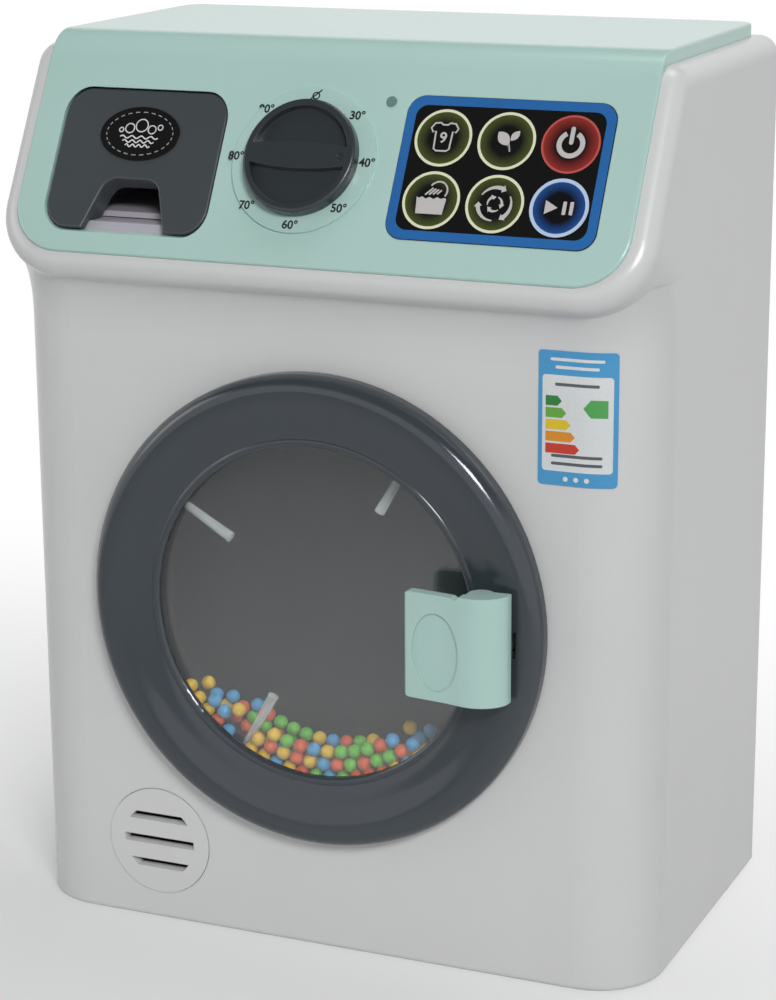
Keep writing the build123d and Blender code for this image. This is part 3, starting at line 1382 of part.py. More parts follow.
def speaker_frame():
    rear = SPEAKER_SEAT + SPEAKER_DEEP
    rim_back = SPEAKER_SEAT + SPEAKER_RIM
    middle = SPEAKER_SEAT + SPEAKER_RIM / 2
    throat = COIL_FORMER_R + 2 * CONE_PLAY
    points = [(CONE_R + CONE_PLAY, middle), (SPEAKER_R - SPEAKER_SKIN, middle)]
    points += [(SPEAKER_MAGNET_R + SPEAKER_SKIN, rear), (throat, rear), (throat, rear - SPEAKER_SKIN)]
    points += [(SPEAKER_MAGNET_R, rear - SPEAKER_SKIN), (CONE_R + CONE_PLAY, rim_back)]
    rim = slab(speaker_rim(), SPEAKER_SEAT, rim_back, VENT_X, VENT_Z)
    return rim + spun(points, VENT_X, VENT_Z)


def speaker_cone():
    low = SPEAKER_SEAT + FIT
    deep = low + CONE_DEEP
    points = [(CONE_R, low), (CONE_R, low + CONE_SKIN), (COIL_FORMER_R, deep)]
    points += [(COIL_FORMER_R, deep - CONE_SKIN), (0, deep - DUST_CAP), (0, deep - DUST_CAP - CONE_SKIN)]
    points += [(COIL_FORMER_R, deep - 2 * CONE_SKIN), (CONE_R - CONE_FLAT, low)]
    return spun(points, VENT_X, VENT_Z)


def speaker_magnet():
    rear = SPEAKER_SEAT + SPEAKER_DEEP
    return rod(SPEAKER_MAGNET_R, rear, rear + SPEAKER_MAGNET_H, VENT_X, VENT_Z)


def energy_label():
    shape = RectangleRounded(LABEL_W, LABEL_H, LABEL_R)
    label = slab(shape, -LATCH_REACH, LABEL_WRAP, LABEL_X, FASCIA_Z - LABEL_DROP)
    return (label & housing_form(-LABEL_THICK)) - housing_form(0)


# Batteries

def battery_box():
    front = BACK_SEAT - BOX_DEEP
    box = slab(Rectangle(BOX_W, BOX_H), front, BACK_SEAT, 0, BATTERY_Z)
    flange_h = BATTERY_DOOR_H + 2 * BOX_WALL + 4
    flange = Rectangle(BOX_W + 2 * BOX_FLANGE, flange_h)
    box += slab(flange, BACK_SEAT - BOX_FLANGE_THICK, BACK_SEAT, 0, BATTERY_Z)
    screw_z = BATTERY_Z + DOOR_SCREW_RISE
    box += rod(BOSS_R - 1, BACK_SEAT - SHANK_LEN - 2, BACK_SEAT, 0, screw_z)
    room = Rectangle(BOX_W - 2 * BOX_WALL, BOX_H - 2 * BOX_WALL)
    box -= slab(room, front + BOX_WALL, BACK_SEAT + WALL, 0, BATTERY_Z)
    box -= rod(SHANK_R, BACK_SEAT - SHANK_LEN, BACK_SEAT + 1, 0, screw_z)
    tab_z = BATTERY_Z - BATTERY_DOOR_H / 2
    for x in (-DOOR_TAB_X, DOOR_TAB_X):
        slot = Rectangle(DOOR_TAB_W + 2 * FIT, DOOR_TAB_H + 1)
        box -= slab(slot, BACK_SEAT - 2 * BOX_FLANGE_THICK, BACK_SEAT + WALL, x, tab_z)
    return box


def cell_depth():
    return BACK_SEAT - BOX_DEEP + BOX_WALL + CELL_R + FIT


def battery_cell():
    """One cell standing upright, plus end up."""
    body = Cylinder(CELL_R, CELL_LEN)
    return body + Pos(0, 0, CELL_LEN / 2 + CELL_NUB / 2) * Cylinder(CELL_NUB_R, CELL_NUB)


def battery_cells():
    cells = []
    for step in range(CELL_COUNT):
        x = (step - (CELL_COUNT - 1) / 2) * CELL_PITCH
        flip = 180 * (step % 2)
        cells.append(Pos(x, FRONT_Y + cell_depth(), BATTERY_Z) * Rot(flip, 0, 0) * battery_cell())
    return group(cells)


def battery_contacts():
    """Sprung plates at both ends of every cell."""
    contacts = []
    inner = BOX_H / 2 - BOX_WALL
    for step in range(CELL_COUNT):
        x = (step - (CELL_COUNT - 1) / 2) * CELL_PITCH
        flip = 1 - 2 * (step % 2)
        for end in (1, -1):
            gap = inner - CELL_LEN / 2 - (CELL_NUB if end == flip else 0)
            y = FRONT_Y + cell_depth()
            centre = BATTERY_Z + end * (inner - gap / 2)
            contacts.append(Pos(x, y, centre) * contact_spring(gap))
    return group(contacts)


def contact_spring(gap):
    """Bent strip that fills the gap between the box and a cell end."""
    half = CONTACT_W / 2
    arms = Rectangle(CONTACT_W, gap) - Pos(CONTACT_THICK, 0) * Rectangle(CONTACT_W, gap - 2 * CONTACT_THICK)
    return extrude(Plane.XZ * arms, half, both=True)


def battery_door():
    outline = RectangleRounded(BATTERY_DOOR_W, BATTERY_DOOR_H, BATTERY_DOOR_R)
    outside = BACK_SEAT + BATTERY_DOOR_THICK
    door = slab(outline, BACK_SEAT, outside, 0, BATTERY_Z)
    tab_z = BATTERY_Z - BATTERY_DOOR_H / 2
    for x in (-DOOR_TAB_X, DOOR_TAB_X):
        tab = Rectangle(DOOR_TAB_W, DOOR_TAB_H)
        door += slab(tab, BACK_SEAT - BOX_FLANGE_THICK, BACK_SEAT - FIT, x, tab_z)
        neck = Rectangle(DOOR_TAB_W, DOOR_TAB_NECK)
        door += slab(neck, BACK_SEAT - 1, BACK_SEAT + 1, x, tab_z + DOOR_TAB_H / 4)
    screw_z = BATTERY_Z + DOOR_SCREW_RISE
    seat = sunk_screw(HEAD_R + SINK_FIT, HEAD_H, SHANK_R + SINK_FIT, 2 * BATTERY_DOOR_THICK)
    door -= backing(outside, 0, screw_z) * seat
    for step in range(-2, 3):
        z = BATTERY_Z - GRIP_DROP + GRIP_PITCH * step
        groove = SlotOverall(GRIP_RIB_W, GRIP_PITCH / 2)
        door -= slab(groove, outside - GRIP_DEEP, CASE_DEPTH + 1, 0, z)
    return door


def battery_door_screw():
    shank = SHANK_LEN + BATTERY_DOOR_THICK - 2 * SINK_SET
    screw = sunk_screw(HEAD_R, HEAD_H, SHANK_R, shank) - cross_recess()
    return backing(BACK_SEAT + BATTERY_DOOR_THICK - SINK_SET, 0, BATTERY_Z + DOOR_SCREW_RISE) * screw


def fixing_screws():
    """Identical small screws of the drum housing, gearbox, speaker, drawer guide, board and top cover."""
    screw = pan_screw()
    turned = Rot(180, 0, 0) * screw
    screws = [backing(TUB_EAR_SEAT + TUB_EAR_THICK, x, z) * screw for x, z in ear_places()]
    screws += [backing(GEARBOX_REAR, x, z) * screw for x, z in GEARBOX_POSTS]
    screws += [backing(SPEAKER_SEAT + SPEAKER_RIM, x, z) * screw for x, z in speaker_places()]
    for x, rise in board_corners():
        screws.append(fascia(x, rise, BOARD_TOP - BOARD_THICK).location * turned)
    for x, rise in guide_ears():
        screws.append(fascia(x, rise, PLUG_BACK - GUIDE_FLANGE_THICK).location * turned)
    screws += [Pos(x, y, WHITE_TOP - WALL) * turned for x, y in top_boss_places()]
    return group(screws)


# Beads

def bead():
    """Twenty sided bead."""
    golden = (1 + sqrt(5)) / 2
    scale = BEAD_R / sqrt(1 + golden ** 2)
    corners = []
    for a in (-1, 1):
        for b in (-golden, golden):
            corners += [Vector(0, a, b) * scale, Vector(a, b, 0) * scale, Vector(b, 0, a) * scale]
    side = 2 * scale
    faces = []
    for trio in combinations(corners, 3):
        if all(abs((p - q).length - side) < 1e-6 for p, q in combinations(trio, 2)):
            faces.append(make_face(Polyline(*trio, close=True)))
    return Solid(Shell(faces))


def bead_places(colour):
    """Centres of the beads of one colour, in a front and a back layer."""
    places = []
    front = CHAMBER_FRONT + BEAD_R + BEAD_GAP
    back = CHAMBER_BACK - BEAD_R - BEAD_GAP
    for row, letters in enumerate(BEAD_ROWS):
        radius = BEAD_RIM - row * BEAD_ROW
        step = degrees(BEAD_STEP / radius)
        start = BEAD_START + row * BEAD_ROW_SHIFT
        for layer, (depth, order) in enumerate(((front, letters), (back, letters[::-1]))):
            for place, letter in enumerate(order):
                angle = radians(start + (place + layer / 2) * step)
                if letter == colour:
                    places.append((radius * cos(angle), FRONT_Y + depth, DOOR_Z + radius * sin(angle)))
    return places


def beads(colour):
    shape = bead()
    return group(Pos(*place) * shape for place in bead_places(colour))


os.makedirs("parts", exist_ok=True)

NODES = {
    "cabinet_shell": cabinet_shell,
    "back_cover": back_cover,
    "back_cover_screws": back_cover_screws,
    "top_cover": top_cover,
    "drawer_front": drawer_front,
    "drawer_badge": drawer_badge,
    "drawer_tray": drawer_tray,
    "drawer_guide": drawer_guide,
    "dial_knob": dial_knob,
    "dial_spindle": dial_spindle,
    "dial_switch": dial_switch,
    "touch_panel": touch_panel,
    "indicator_lens": indicator_lens,
    "indicator_led": indicator_led,
    "control_board": control_board,
    "panel_lamps": panel_lamps,
    "board_chips": board_chips,
    "door_ring": door_ring,
    "door_window": door_window,
    "window_retainer": window_retainer,
    "retainer_screws": retainer_screws,
    "hinge_pin": hinge_pin,
    "latch_handle": latch_handle,
    "latch_pin": latch_pin,
    "latch_spring": latch_spring,
    "latch_keeper": latch_keeper,
    "drum_window": drum_window,
    "drum_shell": drum_shell,
    "drum_pins": drum_pins,
    "drum_shaft": drum_shaft,
    "shaft_clip": shaft_clip,
    "drum_gear": drum_gear,
    "drum_housing": drum_housing,
    "shaft_bush": shaft_bush,
    "idler_gear": idler_gear,
    "idler_axle": idler_axle,
    "gearbox_cover": gearbox_cover,
    "motor_can": motor_can,
    "motor_cap": motor_cap,
    "motor_terminals": motor_terminals,
    "motor_shaft": motor_shaft,
    "motor_pinion": motor_pinion,
    "vent_grille": vent_grille,
    "speaker_frame": speaker_frame,
    "speaker_cone": speaker_cone,
    "speaker_magnet": speaker_magnet,
    "energy_label": energy_label,
    "battery_box": battery_box,
    "battery_cells": battery_cells,
    "battery_contacts": battery_contacts,
    "battery_door": battery_door,
    "battery_door_screw": battery_door_screw,
    "fixing_screws": fixing_screws,
    "yellow_beads": lambda: beads("Y"),
    "orange_beads": lambda: beads("O"),
    "green_beads": lambda: beads("G"),
    "blue_beads": lambda: beads("B"),
}

for name, make in NODES.items():
    export_step(make(), f"parts/{name}.step")
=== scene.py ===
# %% [markdown]
# # A toy washing machine, dressed in Blender
#
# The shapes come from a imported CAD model. This script gives them their finishes, adds what is
# too small or too smooth for the CAD (prints, round beads), and sets up the camera and light.
# Run it from top to bottom: every cell prints what it made.

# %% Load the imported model
import math

import bmesh
import bpy
from mathutils import Matrix, Vector


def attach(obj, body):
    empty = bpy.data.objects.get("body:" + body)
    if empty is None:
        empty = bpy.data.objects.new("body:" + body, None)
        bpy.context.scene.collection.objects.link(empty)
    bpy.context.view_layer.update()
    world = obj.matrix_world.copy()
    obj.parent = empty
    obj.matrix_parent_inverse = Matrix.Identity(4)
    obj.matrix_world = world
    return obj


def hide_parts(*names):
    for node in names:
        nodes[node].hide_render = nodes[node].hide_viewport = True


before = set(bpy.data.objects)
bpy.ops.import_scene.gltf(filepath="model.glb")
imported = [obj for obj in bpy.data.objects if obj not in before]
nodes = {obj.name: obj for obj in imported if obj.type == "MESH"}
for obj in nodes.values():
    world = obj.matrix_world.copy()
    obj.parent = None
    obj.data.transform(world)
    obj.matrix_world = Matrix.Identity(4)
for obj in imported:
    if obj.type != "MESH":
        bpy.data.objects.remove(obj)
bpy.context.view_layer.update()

# %% [markdown]
# ## Measures
#
# Blender works in metres, and a toy is easier to think of in millimetres, so every size below
# is written in millimetres and multiplied by MM where it meets Blender.

# %% Sizes that the prints share with the model
MM = 0.001
FRONT_Y = -49.5
FASCIA_Z = 231.3
FASCIA_REACH = 2.15
TILT = math.radians(29.3)
PRINT_THICK = 0.03


def fascia_place(x, rise, lift):
    """Matrix of a drawing that lies on the sloping fascia, x across, y up the slope."""
    right = Vector((1, 0, 0))
    up = Vector((0, math.sin(TILT), math.cos(TILT)))
    out = right.cross(up)
    origin = Vector((x, FRONT_Y - FASCIA_REACH, FASCIA_Z)) + up * rise + out * lift
    place = Matrix((right, up, out)).transposed().to_4x4()
    place.translation = origin * MM
    return place


print("fascia centre line:", fascia_place(0, 0, 0).translation)

# %% [markdown]
# ## Colour
#
# Colours are picked on a screen, in sRGB. Blender's shaders add up light, so they need the
# linear value. One function does the turn, and no colour goes round it.

# %% From a screen colour to a linear one


def linear(hex_colour):
    """sRGB hex to the linear colour that shaders use."""
    channels = [int(hex_colour[i:i + 2], 16) / 255 for i in (1, 3, 5)]
    turned = [c / 12.92 if c <= 0.04045 else ((c + 0.055) / 1.055) ** 2.4 for c in channels]
    return (*turned, 1.0)


print("middle grey:", linear("#808080"))

# %% [markdown]
# ## Adding nodes
#
# A material is a small graph. This function adds one node with its settings, and its inputs
# are either plain values or the outputs of nodes made before it.

# %% One function for every kind of node


def add_node(tree, kind, settings=None, inputs=None):
    node = tree.nodes.new(kind)
    for name, value in (settings or {}).items():
        setattr(node, name, value)
    for name, value in (inputs or {}).items():
        socket = node.inputs[name]
        if isinstance(value, bpy.types.NodeSocket):
            tree.links.new(value, socket)
        else:
            socket.default_value = value
    return node


def new_tree(name):
    """A material with nothing but its output."""
    material = bpy.data.materials.new(name)
    material.use_nodes = True
    tree = material.node_tree
    tree.nodes.clear()
    return material, tree, tree.nodes.new("ShaderNodeOutputMaterial")


print("helpers ready")

# %% [markdown]
# ## Moulded ABS
#
# Nearly all of the toy is taken to be ABS, injection moulded in a polished steel mould. The
# surface copies the mould: glossy, with a faint orange peel about two millimetres wide. The
# colour is mixed into the pellets, so it drifts only a little, over centimetres and in specks
# under a millimetre. The IOR of ABS is 1.54. A bevel in the shader softens the edges that the
# mould's small radii leave on the real part.

# %% A maker of moulded plastics
ABS_IOR = 1.54
EDGE_SOFT = 0.35
NOISE_LOW, NOISE_HIGH = 0.3, 0.7
CLOUD_SIZE = 45
SPECK_SIZE = 0.8
PEEL_SIZE = 2.2
GLOSS_DRIFT = 0.05
COAT_ROUGHNESS = 0.08


def noise(tree, place, size_mm, detail):
    """Noise with features about this wide. Most of it lies from NOISE_LOW to NOISE_HIGH."""
    return add_node(tree, "ShaderNodeTexNoise", None, {
        "Vector": place, "Scale": 1 / (size_mm * MM), "Detail": detail}).outputs["Fac"]


def between(tree, value, low, high):
    """A noise's value turned into one from low to high."""
    return add_node(tree, "ShaderNodeMapRange", None, {
        "Value": value, "From Min": NOISE_LOW, "From Max": NOISE_HIGH,
        "To Min": low, "To Max": high}).outputs["Result"]


def bumped(tree, height, depth_mm, under=None):
    """Normal of a surface that this height raises by up to the depth."""
    inputs = {"Height": height, "Distance": depth_mm * MM, "Strength": 1.0}
    if under is not None:
        inputs["Normal"] = under
    return add_node(tree, "ShaderNodeBump", None, inputs).outputs["Normal"]


def moulded_plastic(name, colour, roughness, drift=0.06, peel=0.012, ior=ABS_IOR,
                    soft=EDGE_SOFT, coat=0.0):
    """The colour darkens by up to drift, a share. Peel and soft are in millimetres."""
    material, tree, output = new_tree(name)
    place = add_node(tree, "ShaderNodeTexCoord").outputs["Object"]
    cloud = noise(tree, place, CLOUD_SIZE, 2.0)
    shade = between(tree, cloud, 1 - drift, 1.0)
    grain = between(tree, noise(tree, place, SPECK_SIZE, 3.0), 1 - drift / 2, 1.0)
    both = add_node(tree, "ShaderNodeMath", {"operation": "MULTIPLY"}, {0: shade, 1: grain})
    tinted = add_node(tree, "ShaderNodeVectorMath", {"operation": "SCALE"}, {
        0: linear(colour)[:3], "Scale": both.outputs["Value"]})
    rough = between(tree, cloud, roughness * (1 - GLOSS_DRIFT), roughness * (1 + GLOSS_DRIFT))
    edge = add_node(tree, "ShaderNodeBevel", {"samples": 4}, {"Radius": soft * MM})
    normal = bumped(tree, noise(tree, place, PEEL_SIZE, 1.0), peel, edge.outputs["Normal"])
    shader = add_node(tree, "ShaderNodeBsdfPrincipled", None, {
        "Base Color": tinted.outputs["Vector"], "Roughness": rough, "IOR": ior,
        "Coat Weight": coat, "Coat Roughness": COAT_ROUGHNESS, "Normal": normal})
    tree.links.new(shader.outputs["BSDF"], output.inputs["Surface"])
    return material


white_abs = moulded_plastic("white_moulded_abs", "#DCDCDC", 0.26, drift=0.02, peel=0.006)
mint_abs = moulded_plastic("mint_moulded_abs", "#B8D9D1", 0.2, drift=0.03)
slate_abs = moulded_plastic("slate_moulded_abs", "#3D444A", 0.13, drift=0.04)
drawer_abs = moulded_plastic("slate_satin_abs", "#40464A", 0.38)
knob_abs = moulded_plastic("charcoal_moulded_abs", "#33393D", 0.26)
drum_abs = moulded_plastic("drum_grey_abs", "#19191A", 0.45)
# The drawer tray and its guide are white plastic. They get the darker lilac grey that white takes in
# the shade of the drawer recess, which is painted shade.
tray_abs_with_painted_shade = moulded_plastic("white_abs_with_painted_shade", "#BDB9C2", 0.4)
black_abs = moulded_plastic("black_moulded_abs", "#151516", 0.4)
print("moulded plastics:", len(bpy.data.materials))

# %% [markdown]
# ## Nylon, board, paper and ferrite
#
# Inside, the parts are plainer: white nylon gears with a dull sheen, a green glass fibre
# board, a grey paper cone and a black ferrite magnet. They use the same maker with the values
# of their own materials.

# %% Inner materials
gear_nylon = moulded_plastic("cut_gear_nylon", "#E8E4D6", 0.5, ior=1.53)
fibre_board = moulded_plastic("solder_masked_board", "#1F5B3A", 0.35, ior=1.55)
cone_paper = moulded_plastic("pressed_cone_paper", "#2A2A2C", 0.85, drift=0.2, peel=0.04, ior=1.45)
ferrite = moulded_plastic("sintered_ferrite", "#232325", 0.6, drift=0.15, ior=1.5)
cell_wrap = moulded_plastic("printed_cell_wrap", "#2E5E8C", 0.3, ior=1.5)
lamp_epoxy = moulded_plastic("frosted_lamp_epoxy", "#6E8F86", 0.25, ior=1.5)
print("inner materials ready")

# %% [markdown]
# ## Metals
#
# Screws are zinc plated steel, and the motor can is drawn steel. A metal has no colour of its
# own under the gloss: Metallic is 1, the colour is the reflection's tint, and fine scratches
# from drawing or tumbling blur it.

# %% Metals
SCRATCH_SIZE = 0.3
SCRATCH_DEPTH = 0.01
WEAR_SHARE = 0.25


def plated_metal(name, colour, roughness):
    material, tree, output = new_tree(name)
    place = add_node(tree, "ShaderNodeTexCoord").outputs["Object"]
    worn = noise(tree, place, SCRATCH_SIZE, 3.0)
    rough = between(tree, worn, roughness * (1 - WEAR_SHARE), roughness * (1 + WEAR_SHARE))
    shader = add_node(tree, "ShaderNodeBsdfPrincipled", None, {
        "Base Color": linear(colour), "Metallic": 1.0, "Roughness": rough,
        "Normal": bumped(tree, worn, SCRATCH_DEPTH)})
    tree.links.new(shader.outputs["BSDF"], output.inputs["Surface"])
    return material


zinc = plated_metal("zinc_plated_steel", "#C3C6C9", 0.32)
drawn_steel = plated_metal("drawn_steel", "#A9ABAE", 0.38)
brass = plated_metal("turned_brass", "#C9A961", 0.3)
print("metals ready")

# %% [markdown]
# ## Clear styrene
#
# The door window, the drum front and the four pins are taken to be crystal styrene: hardly
# tinted, IOR 1.59, and mirror smooth. Rays to the lamps pass straight through, by a Light Path
# node, because path tracing finds almost no light that bends twice on its way to the drum. The
# pins are partly milky as a stand-in, so that they show against the dark drum.

# %% Clear plastics
STYRENE_IOR = 1.59
FLOW_SIZE = 30
FLOW_DEPTH = 0.12


def clear_plastic(name, tint, roughness, clarity=1.0):
    material, tree, output = new_tree(name)
    place = add_node(tree, "ShaderNodeTexCoord").outputs["Object"]
    flow = bumped(tree, noise(tree, place, FLOW_SIZE, 1.0), FLOW_DEPTH)
    glass = add_node(tree, "ShaderNodeBsdfPrincipled", None, {
        "Base Color": linear(tint), "Roughness": roughness, "IOR": STYRENE_IOR,
        "Transmission Weight": clarity, "Normal": flow})
    through = add_node(tree, "ShaderNodeBsdfTransparent", None, {"Color": linear(tint)})
    path = add_node(tree, "ShaderNodeLightPath")
    mix = add_node(tree, "ShaderNodeMixShader", None, {
        0: path.outputs["Is Shadow Ray"], 1: glass.outputs["BSDF"], 2: through.outputs["BSDF"]})
    tree.links.new(mix.outputs["Shader"], output.inputs["Surface"])
    return material


window_styrene = clear_plastic("clear_moulded_styrene", "#F4F6F6", 0.02)
pin_styrene = clear_plastic("clear_pin_styrene", "#FFFFFF", 0.04, clarity=0.72)
print("clear plastics ready")

# %% [markdown]
# ## Printing inks
#
# Marks on the toy are pad printed or screen printed. The ink is a thin even film, a little
# raised, so each print below is a real plate a few hundredths of a millimetre thick, with a
# slightly uneven colour. The panel's inks lie under a clear film, which is their coat.

# %% Inks and the sticker
FILM_ROUGHNESS = 0.14
FILM_COAT = 0.6


def printing_ink(name, colour, roughness=0.3, coat=0.0):
    return moulded_plastic(name, colour, roughness, drift=0.1, peel=0.004, ior=1.5, soft=0.02,
                           coat=coat)


black_ink = printing_ink("black_pad_ink", "#18191A", 0.45)
film_black = printing_ink("black_film_ink", "#0B0B0C", 0.12, coat=FILM_COAT)
film_blue = printing_ink("blue_film_ink", "#2C6FB6", FILM_ROUGHNESS, coat=FILM_COAT)
film_white = printing_ink("white_film_ink", "#D2CECC", FILM_ROUGHNESS, coat=FILM_COAT)
badge_black = printing_ink("black_badge_ink", "#0C0C0D", 0.25)
badge_grey = printing_ink("grey_badge_ink", "#A9ABAC", 0.3)
badge_white = printing_ink("white_badge_ink", "#E6E6E6", 0.3)
label_blue = printing_ink("blue_label_ink", "#4FA3D8", 0.35)
label_white = printing_ink("white_label_ink", "#E9EDEE", 0.35)
label_grey = printing_ink("grey_label_ink", "#5A6268", 0.35)
print("inks ready")

# %% [markdown]
# ## Dressing the CAD nodes
#
# Each CAD node in the table keeps its shape and gets one finish. The table names the finish of each
# of these nodes once, so a change of material is a change of one word. The bead nodes are not in it.

# %% Finishes of the CAD nodes
FINISHES = {
    white_abs: ["cabinet_shell", "back_cover", "battery_door", "vent_grille", "drum_housing"],
    mint_abs: ["top_cover", "latch_handle"],
    slate_abs: ["door_ring", "window_retainer"],
    drawer_abs: ["drawer_front"],
    knob_abs: ["dial_knob"],
    drum_abs: ["drum_shell"],
    tray_abs_with_painted_shade: ["drawer_tray", "drawer_guide"],
    black_abs: ["dial_switch", "battery_box", "speaker_frame", "motor_cap", "board_chips",
                "gearbox_cover"],
    badge_black: ["drawer_badge"],
    film_black: ["touch_panel"],
    label_blue: ["energy_label"],
    lamp_epoxy: ["indicator_lens", "indicator_led", "panel_lamps"],
    fibre_board: ["control_board"],
    gear_nylon: ["drum_gear", "idler_gear", "motor_pinion", "dial_spindle"],
    zinc: ["back_cover_screws", "battery_door_screw", "fixing_screws", "retainer_screws", "hinge_pin",
           "latch_pin", "latch_spring", "drum_shaft", "shaft_clip", "idler_axle", "motor_shaft",
           "battery_contacts", "latch_keeper"],
    drawn_steel: ["motor_can"],
    brass: ["shaft_bush", "motor_terminals"],
    window_styrene: ["door_window", "drum_window"],
    pin_styrene: ["drum_pins"],
    cone_paper: ["speaker_cone"],
    ferrite: ["speaker_magnet"],
    cell_wrap: ["battery_cells"],
}


def dress(node_object, material):
    node_object.data.materials.clear()
    node_object.data.materials.append(material)


dressed = 0
for finish, names in FINISHES.items():
    for node_name in names:
        dress(nodes[node_name], finish)
        dressed += 1
print("dressed", dressed, "of", len(nodes), "nodes")

# %% [markdown]
# ## Beads
#
# The CAD beads are faceted, which is enough for physics. Real toy beads are round and glossy,
# so the centre of each CAD bead is found and a smooth sphere takes its place. All beads of one
# colour are one mesh.

# %% Round beads in place of the faceted ones
BEAD_R = 2.25
BEAD_SIDES = 20
BEAD_RINGS = 12
BEAD_WELD = 0.01
BEAD_COLOURS = {"yellow": "#E8B62B", "orange": "#DE5B2E", "green": "#6DBB3C", "blue": "#4E9BCB"}


def islands(mesh):
    """Centres of the separate closed pieces of a mesh."""
    work = bmesh.new()
    work.from_mesh(mesh)
    bmesh.ops.remove_doubles(work, verts=work.verts, dist=BEAD_WELD * MM)
    left = set(work.verts)
    centres = []
    while left:
        stack, piece = [left.pop()], []
        while stack:
            vertex = stack.pop()
            piece.append(vertex.co.copy())
            for edge in vertex.link_edges:
                other = edge.other_vert(vertex)
                if other in left:
                    left.remove(other)
                    stack.append(other)
        centres.append(sum(piece, Vector()) / len(piece))
    work.free()
    return sorted(centres, key=lambda c: (round(c.x, 6), round(c.z, 6), round(c.y, 6)))


def bead_material(name, colour):
    return moulded_plastic(name, colour, 0.18, drift=0.12, peel=0.01, ior=1.5, soft=0.02)


def as_object(name, mesh, material, place=None):
    piece = bpy.data.objects.new(name, mesh)
    bpy.context.scene.collection.objects.link(piece)
    if place is not None:
        piece.matrix_world = place
    piece.data.materials.append(material)
    return piece


bead_total = 0
for colour_name, colour in BEAD_COLOURS.items():
    node_name = colour_name + "_beads"
    mesh = bpy.data.meshes.new("round_" + node_name)
    work = bmesh.new()
    for centre in islands(nodes[node_name].data):
        bmesh.ops.create_uvsphere(work, u_segments=BEAD_SIDES, v_segments=BEAD_RINGS,
                                  radius=BEAD_R * MM, matrix=Matrix.Translation(centre))
        bead_total += 1
    for face in work.faces:
        face.smooth = True
    work.to_mesh(mesh)
    work.free()
    piece = as_object("round_" + node_name, mesh, bead_material(colour_name + "_bead_styrene", colour))
    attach(piece, "housing")
    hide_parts(node_name)
print("beads:", bead_total)

# %% [markdown]
# ## Drawing flat shapes
#
# Prints are drawn as outlines. A 2D curve fills closed outlines and cuts the inner ones out as
# holes, which is the quickest way to a clean plate, and the result is turned into a mesh.

# %% Plates from outlines
FINE_LINE = 0.42
PLATE_WELD = 0.001


def circle(radius, x=0.0, y=0.0, steps=48, squash=1.0):
    turns = [2 * math.pi * i / steps for i in range(steps)]
    return [(x + radius * math.cos(t), y + radius * squash * math.sin(t)) for t in turns]


def rounded_box(width, height, radius, x=0.0, y=0.0, steps=8):
    loop = []
    for quarter, (sx, sy) in enumerate(((1, 1), (-1, 1), (-1, -1), (1, -1))):
        cx, cy = x + sx * (width / 2 - radius), y + sy * (height / 2 - radius)
        for i in range(steps + 1):
            turn = math.pi / 2 * (quarter + i / steps)
            loop.append((cx + radius * math.cos(turn), cy + radius * math.sin(turn)))
    return loop


def stroke(points, width, closed=False):
    """Outline, or pair of outlines, of a line of even width."""
    count = len(points)
    left, right = [], []
    for i, (x, y) in enumerate(points):
        before = points[(i - 1) % count] if closed or i else points[i]
        after = points[(i + 1) % count] if closed or i < count - 1 else points[i]
        along = Vector((after[0] - before[0], after[1] - before[1])).normalized()
        side = Vector((-along.y, along.x)) * width / 2
        left.append((x + side.x, y + side.y))
        right.append((x - side.x, y - side.y))
    return [left, right] if closed else [left + right[::-1]]


def arc(radius, start, end, x=0.0, y=0.0, steps=20):
    turns = [math.radians(start + (end - start) * i / steps) for i in range(steps + 1)]
    return [(x + radius * math.cos(t), y + radius * math.sin(t)) for t in turns]


def moved(loops, dx, dy, scale=1.0, turn=0.0):
    c, s = math.cos(math.radians(turn)) * scale, math.sin(math.radians(turn)) * scale
    return [[(dx + c * x - s * y, dy + s * x + c * y) for x, y in loop] for loop in loops]


def plate_mesh(name, loops, thick):
    """Mesh of a flat plate standing on z = 0."""
    curve = bpy.data.curves.new(name, "CURVE")
    curve.dimensions = "2D"
    curve.fill_mode = "BOTH"
    curve.extrude = thick / 2 * MM
    for loop in loops:
        spline = curve.splines.new("POLY")
        spline.points.add(len(loop) - 1)
        for point, (x, y) in zip(spline.points, loop):
            point.co = (x * MM, y * MM, 0, 1)
        spline.use_cyclic_u = True
    return solid_mesh(name, curve, thick)


def solid_mesh(name, curve, thick):
    """Turns a flat curve or text into a closed mesh."""
    source = bpy.data.objects.new(name, curve)
    bpy.context.scene.collection.objects.link(source)
    bpy.context.view_layer.update()
    mesh = bpy.data.meshes.new_from_object(source)
    bpy.data.objects.remove(source)
    mesh.transform(Matrix.Translation((0, 0, thick / 2 * MM)))
    mesh.name = name
    work = bmesh.new()
    work.from_mesh(mesh)
    bmesh.ops.remove_doubles(work, verts=work.verts, dist=PLATE_WELD * MM)
    bmesh.ops.recalc_face_normals(work, faces=work.faces)
    work.to_mesh(mesh)
    work.free()
    mesh.materials.clear()
    return mesh


def printed(name, loops, material, place, body, thick=PRINT_THICK):
    piece = as_object(name, plate_mesh(name, loops, thick), material, place)
    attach(piece, body)
    return piece


print("drawing helpers ready")

# %% [markdown]
# ## Touch panel
#
# The panel is a clear film, printed on the back: a blue border, black inside it and six round
# keys. The border is one plate with a hole.

# %% Border of the touch panel
PANEL_X = 56.0
PANEL_RISE = 17.3
PANEL_W = 64.0
PANEL_H = 44.2
PANEL_TOP = 0.2
BORDER = 2.9
BORDER_INSET = 0.1
BORDER_CORNER = 5.4
SCREEN_CORNER = 3.6
KEY_X = (-19.3, 0.2, 19.6)
KEY_RISE = (9.3, -9.8)

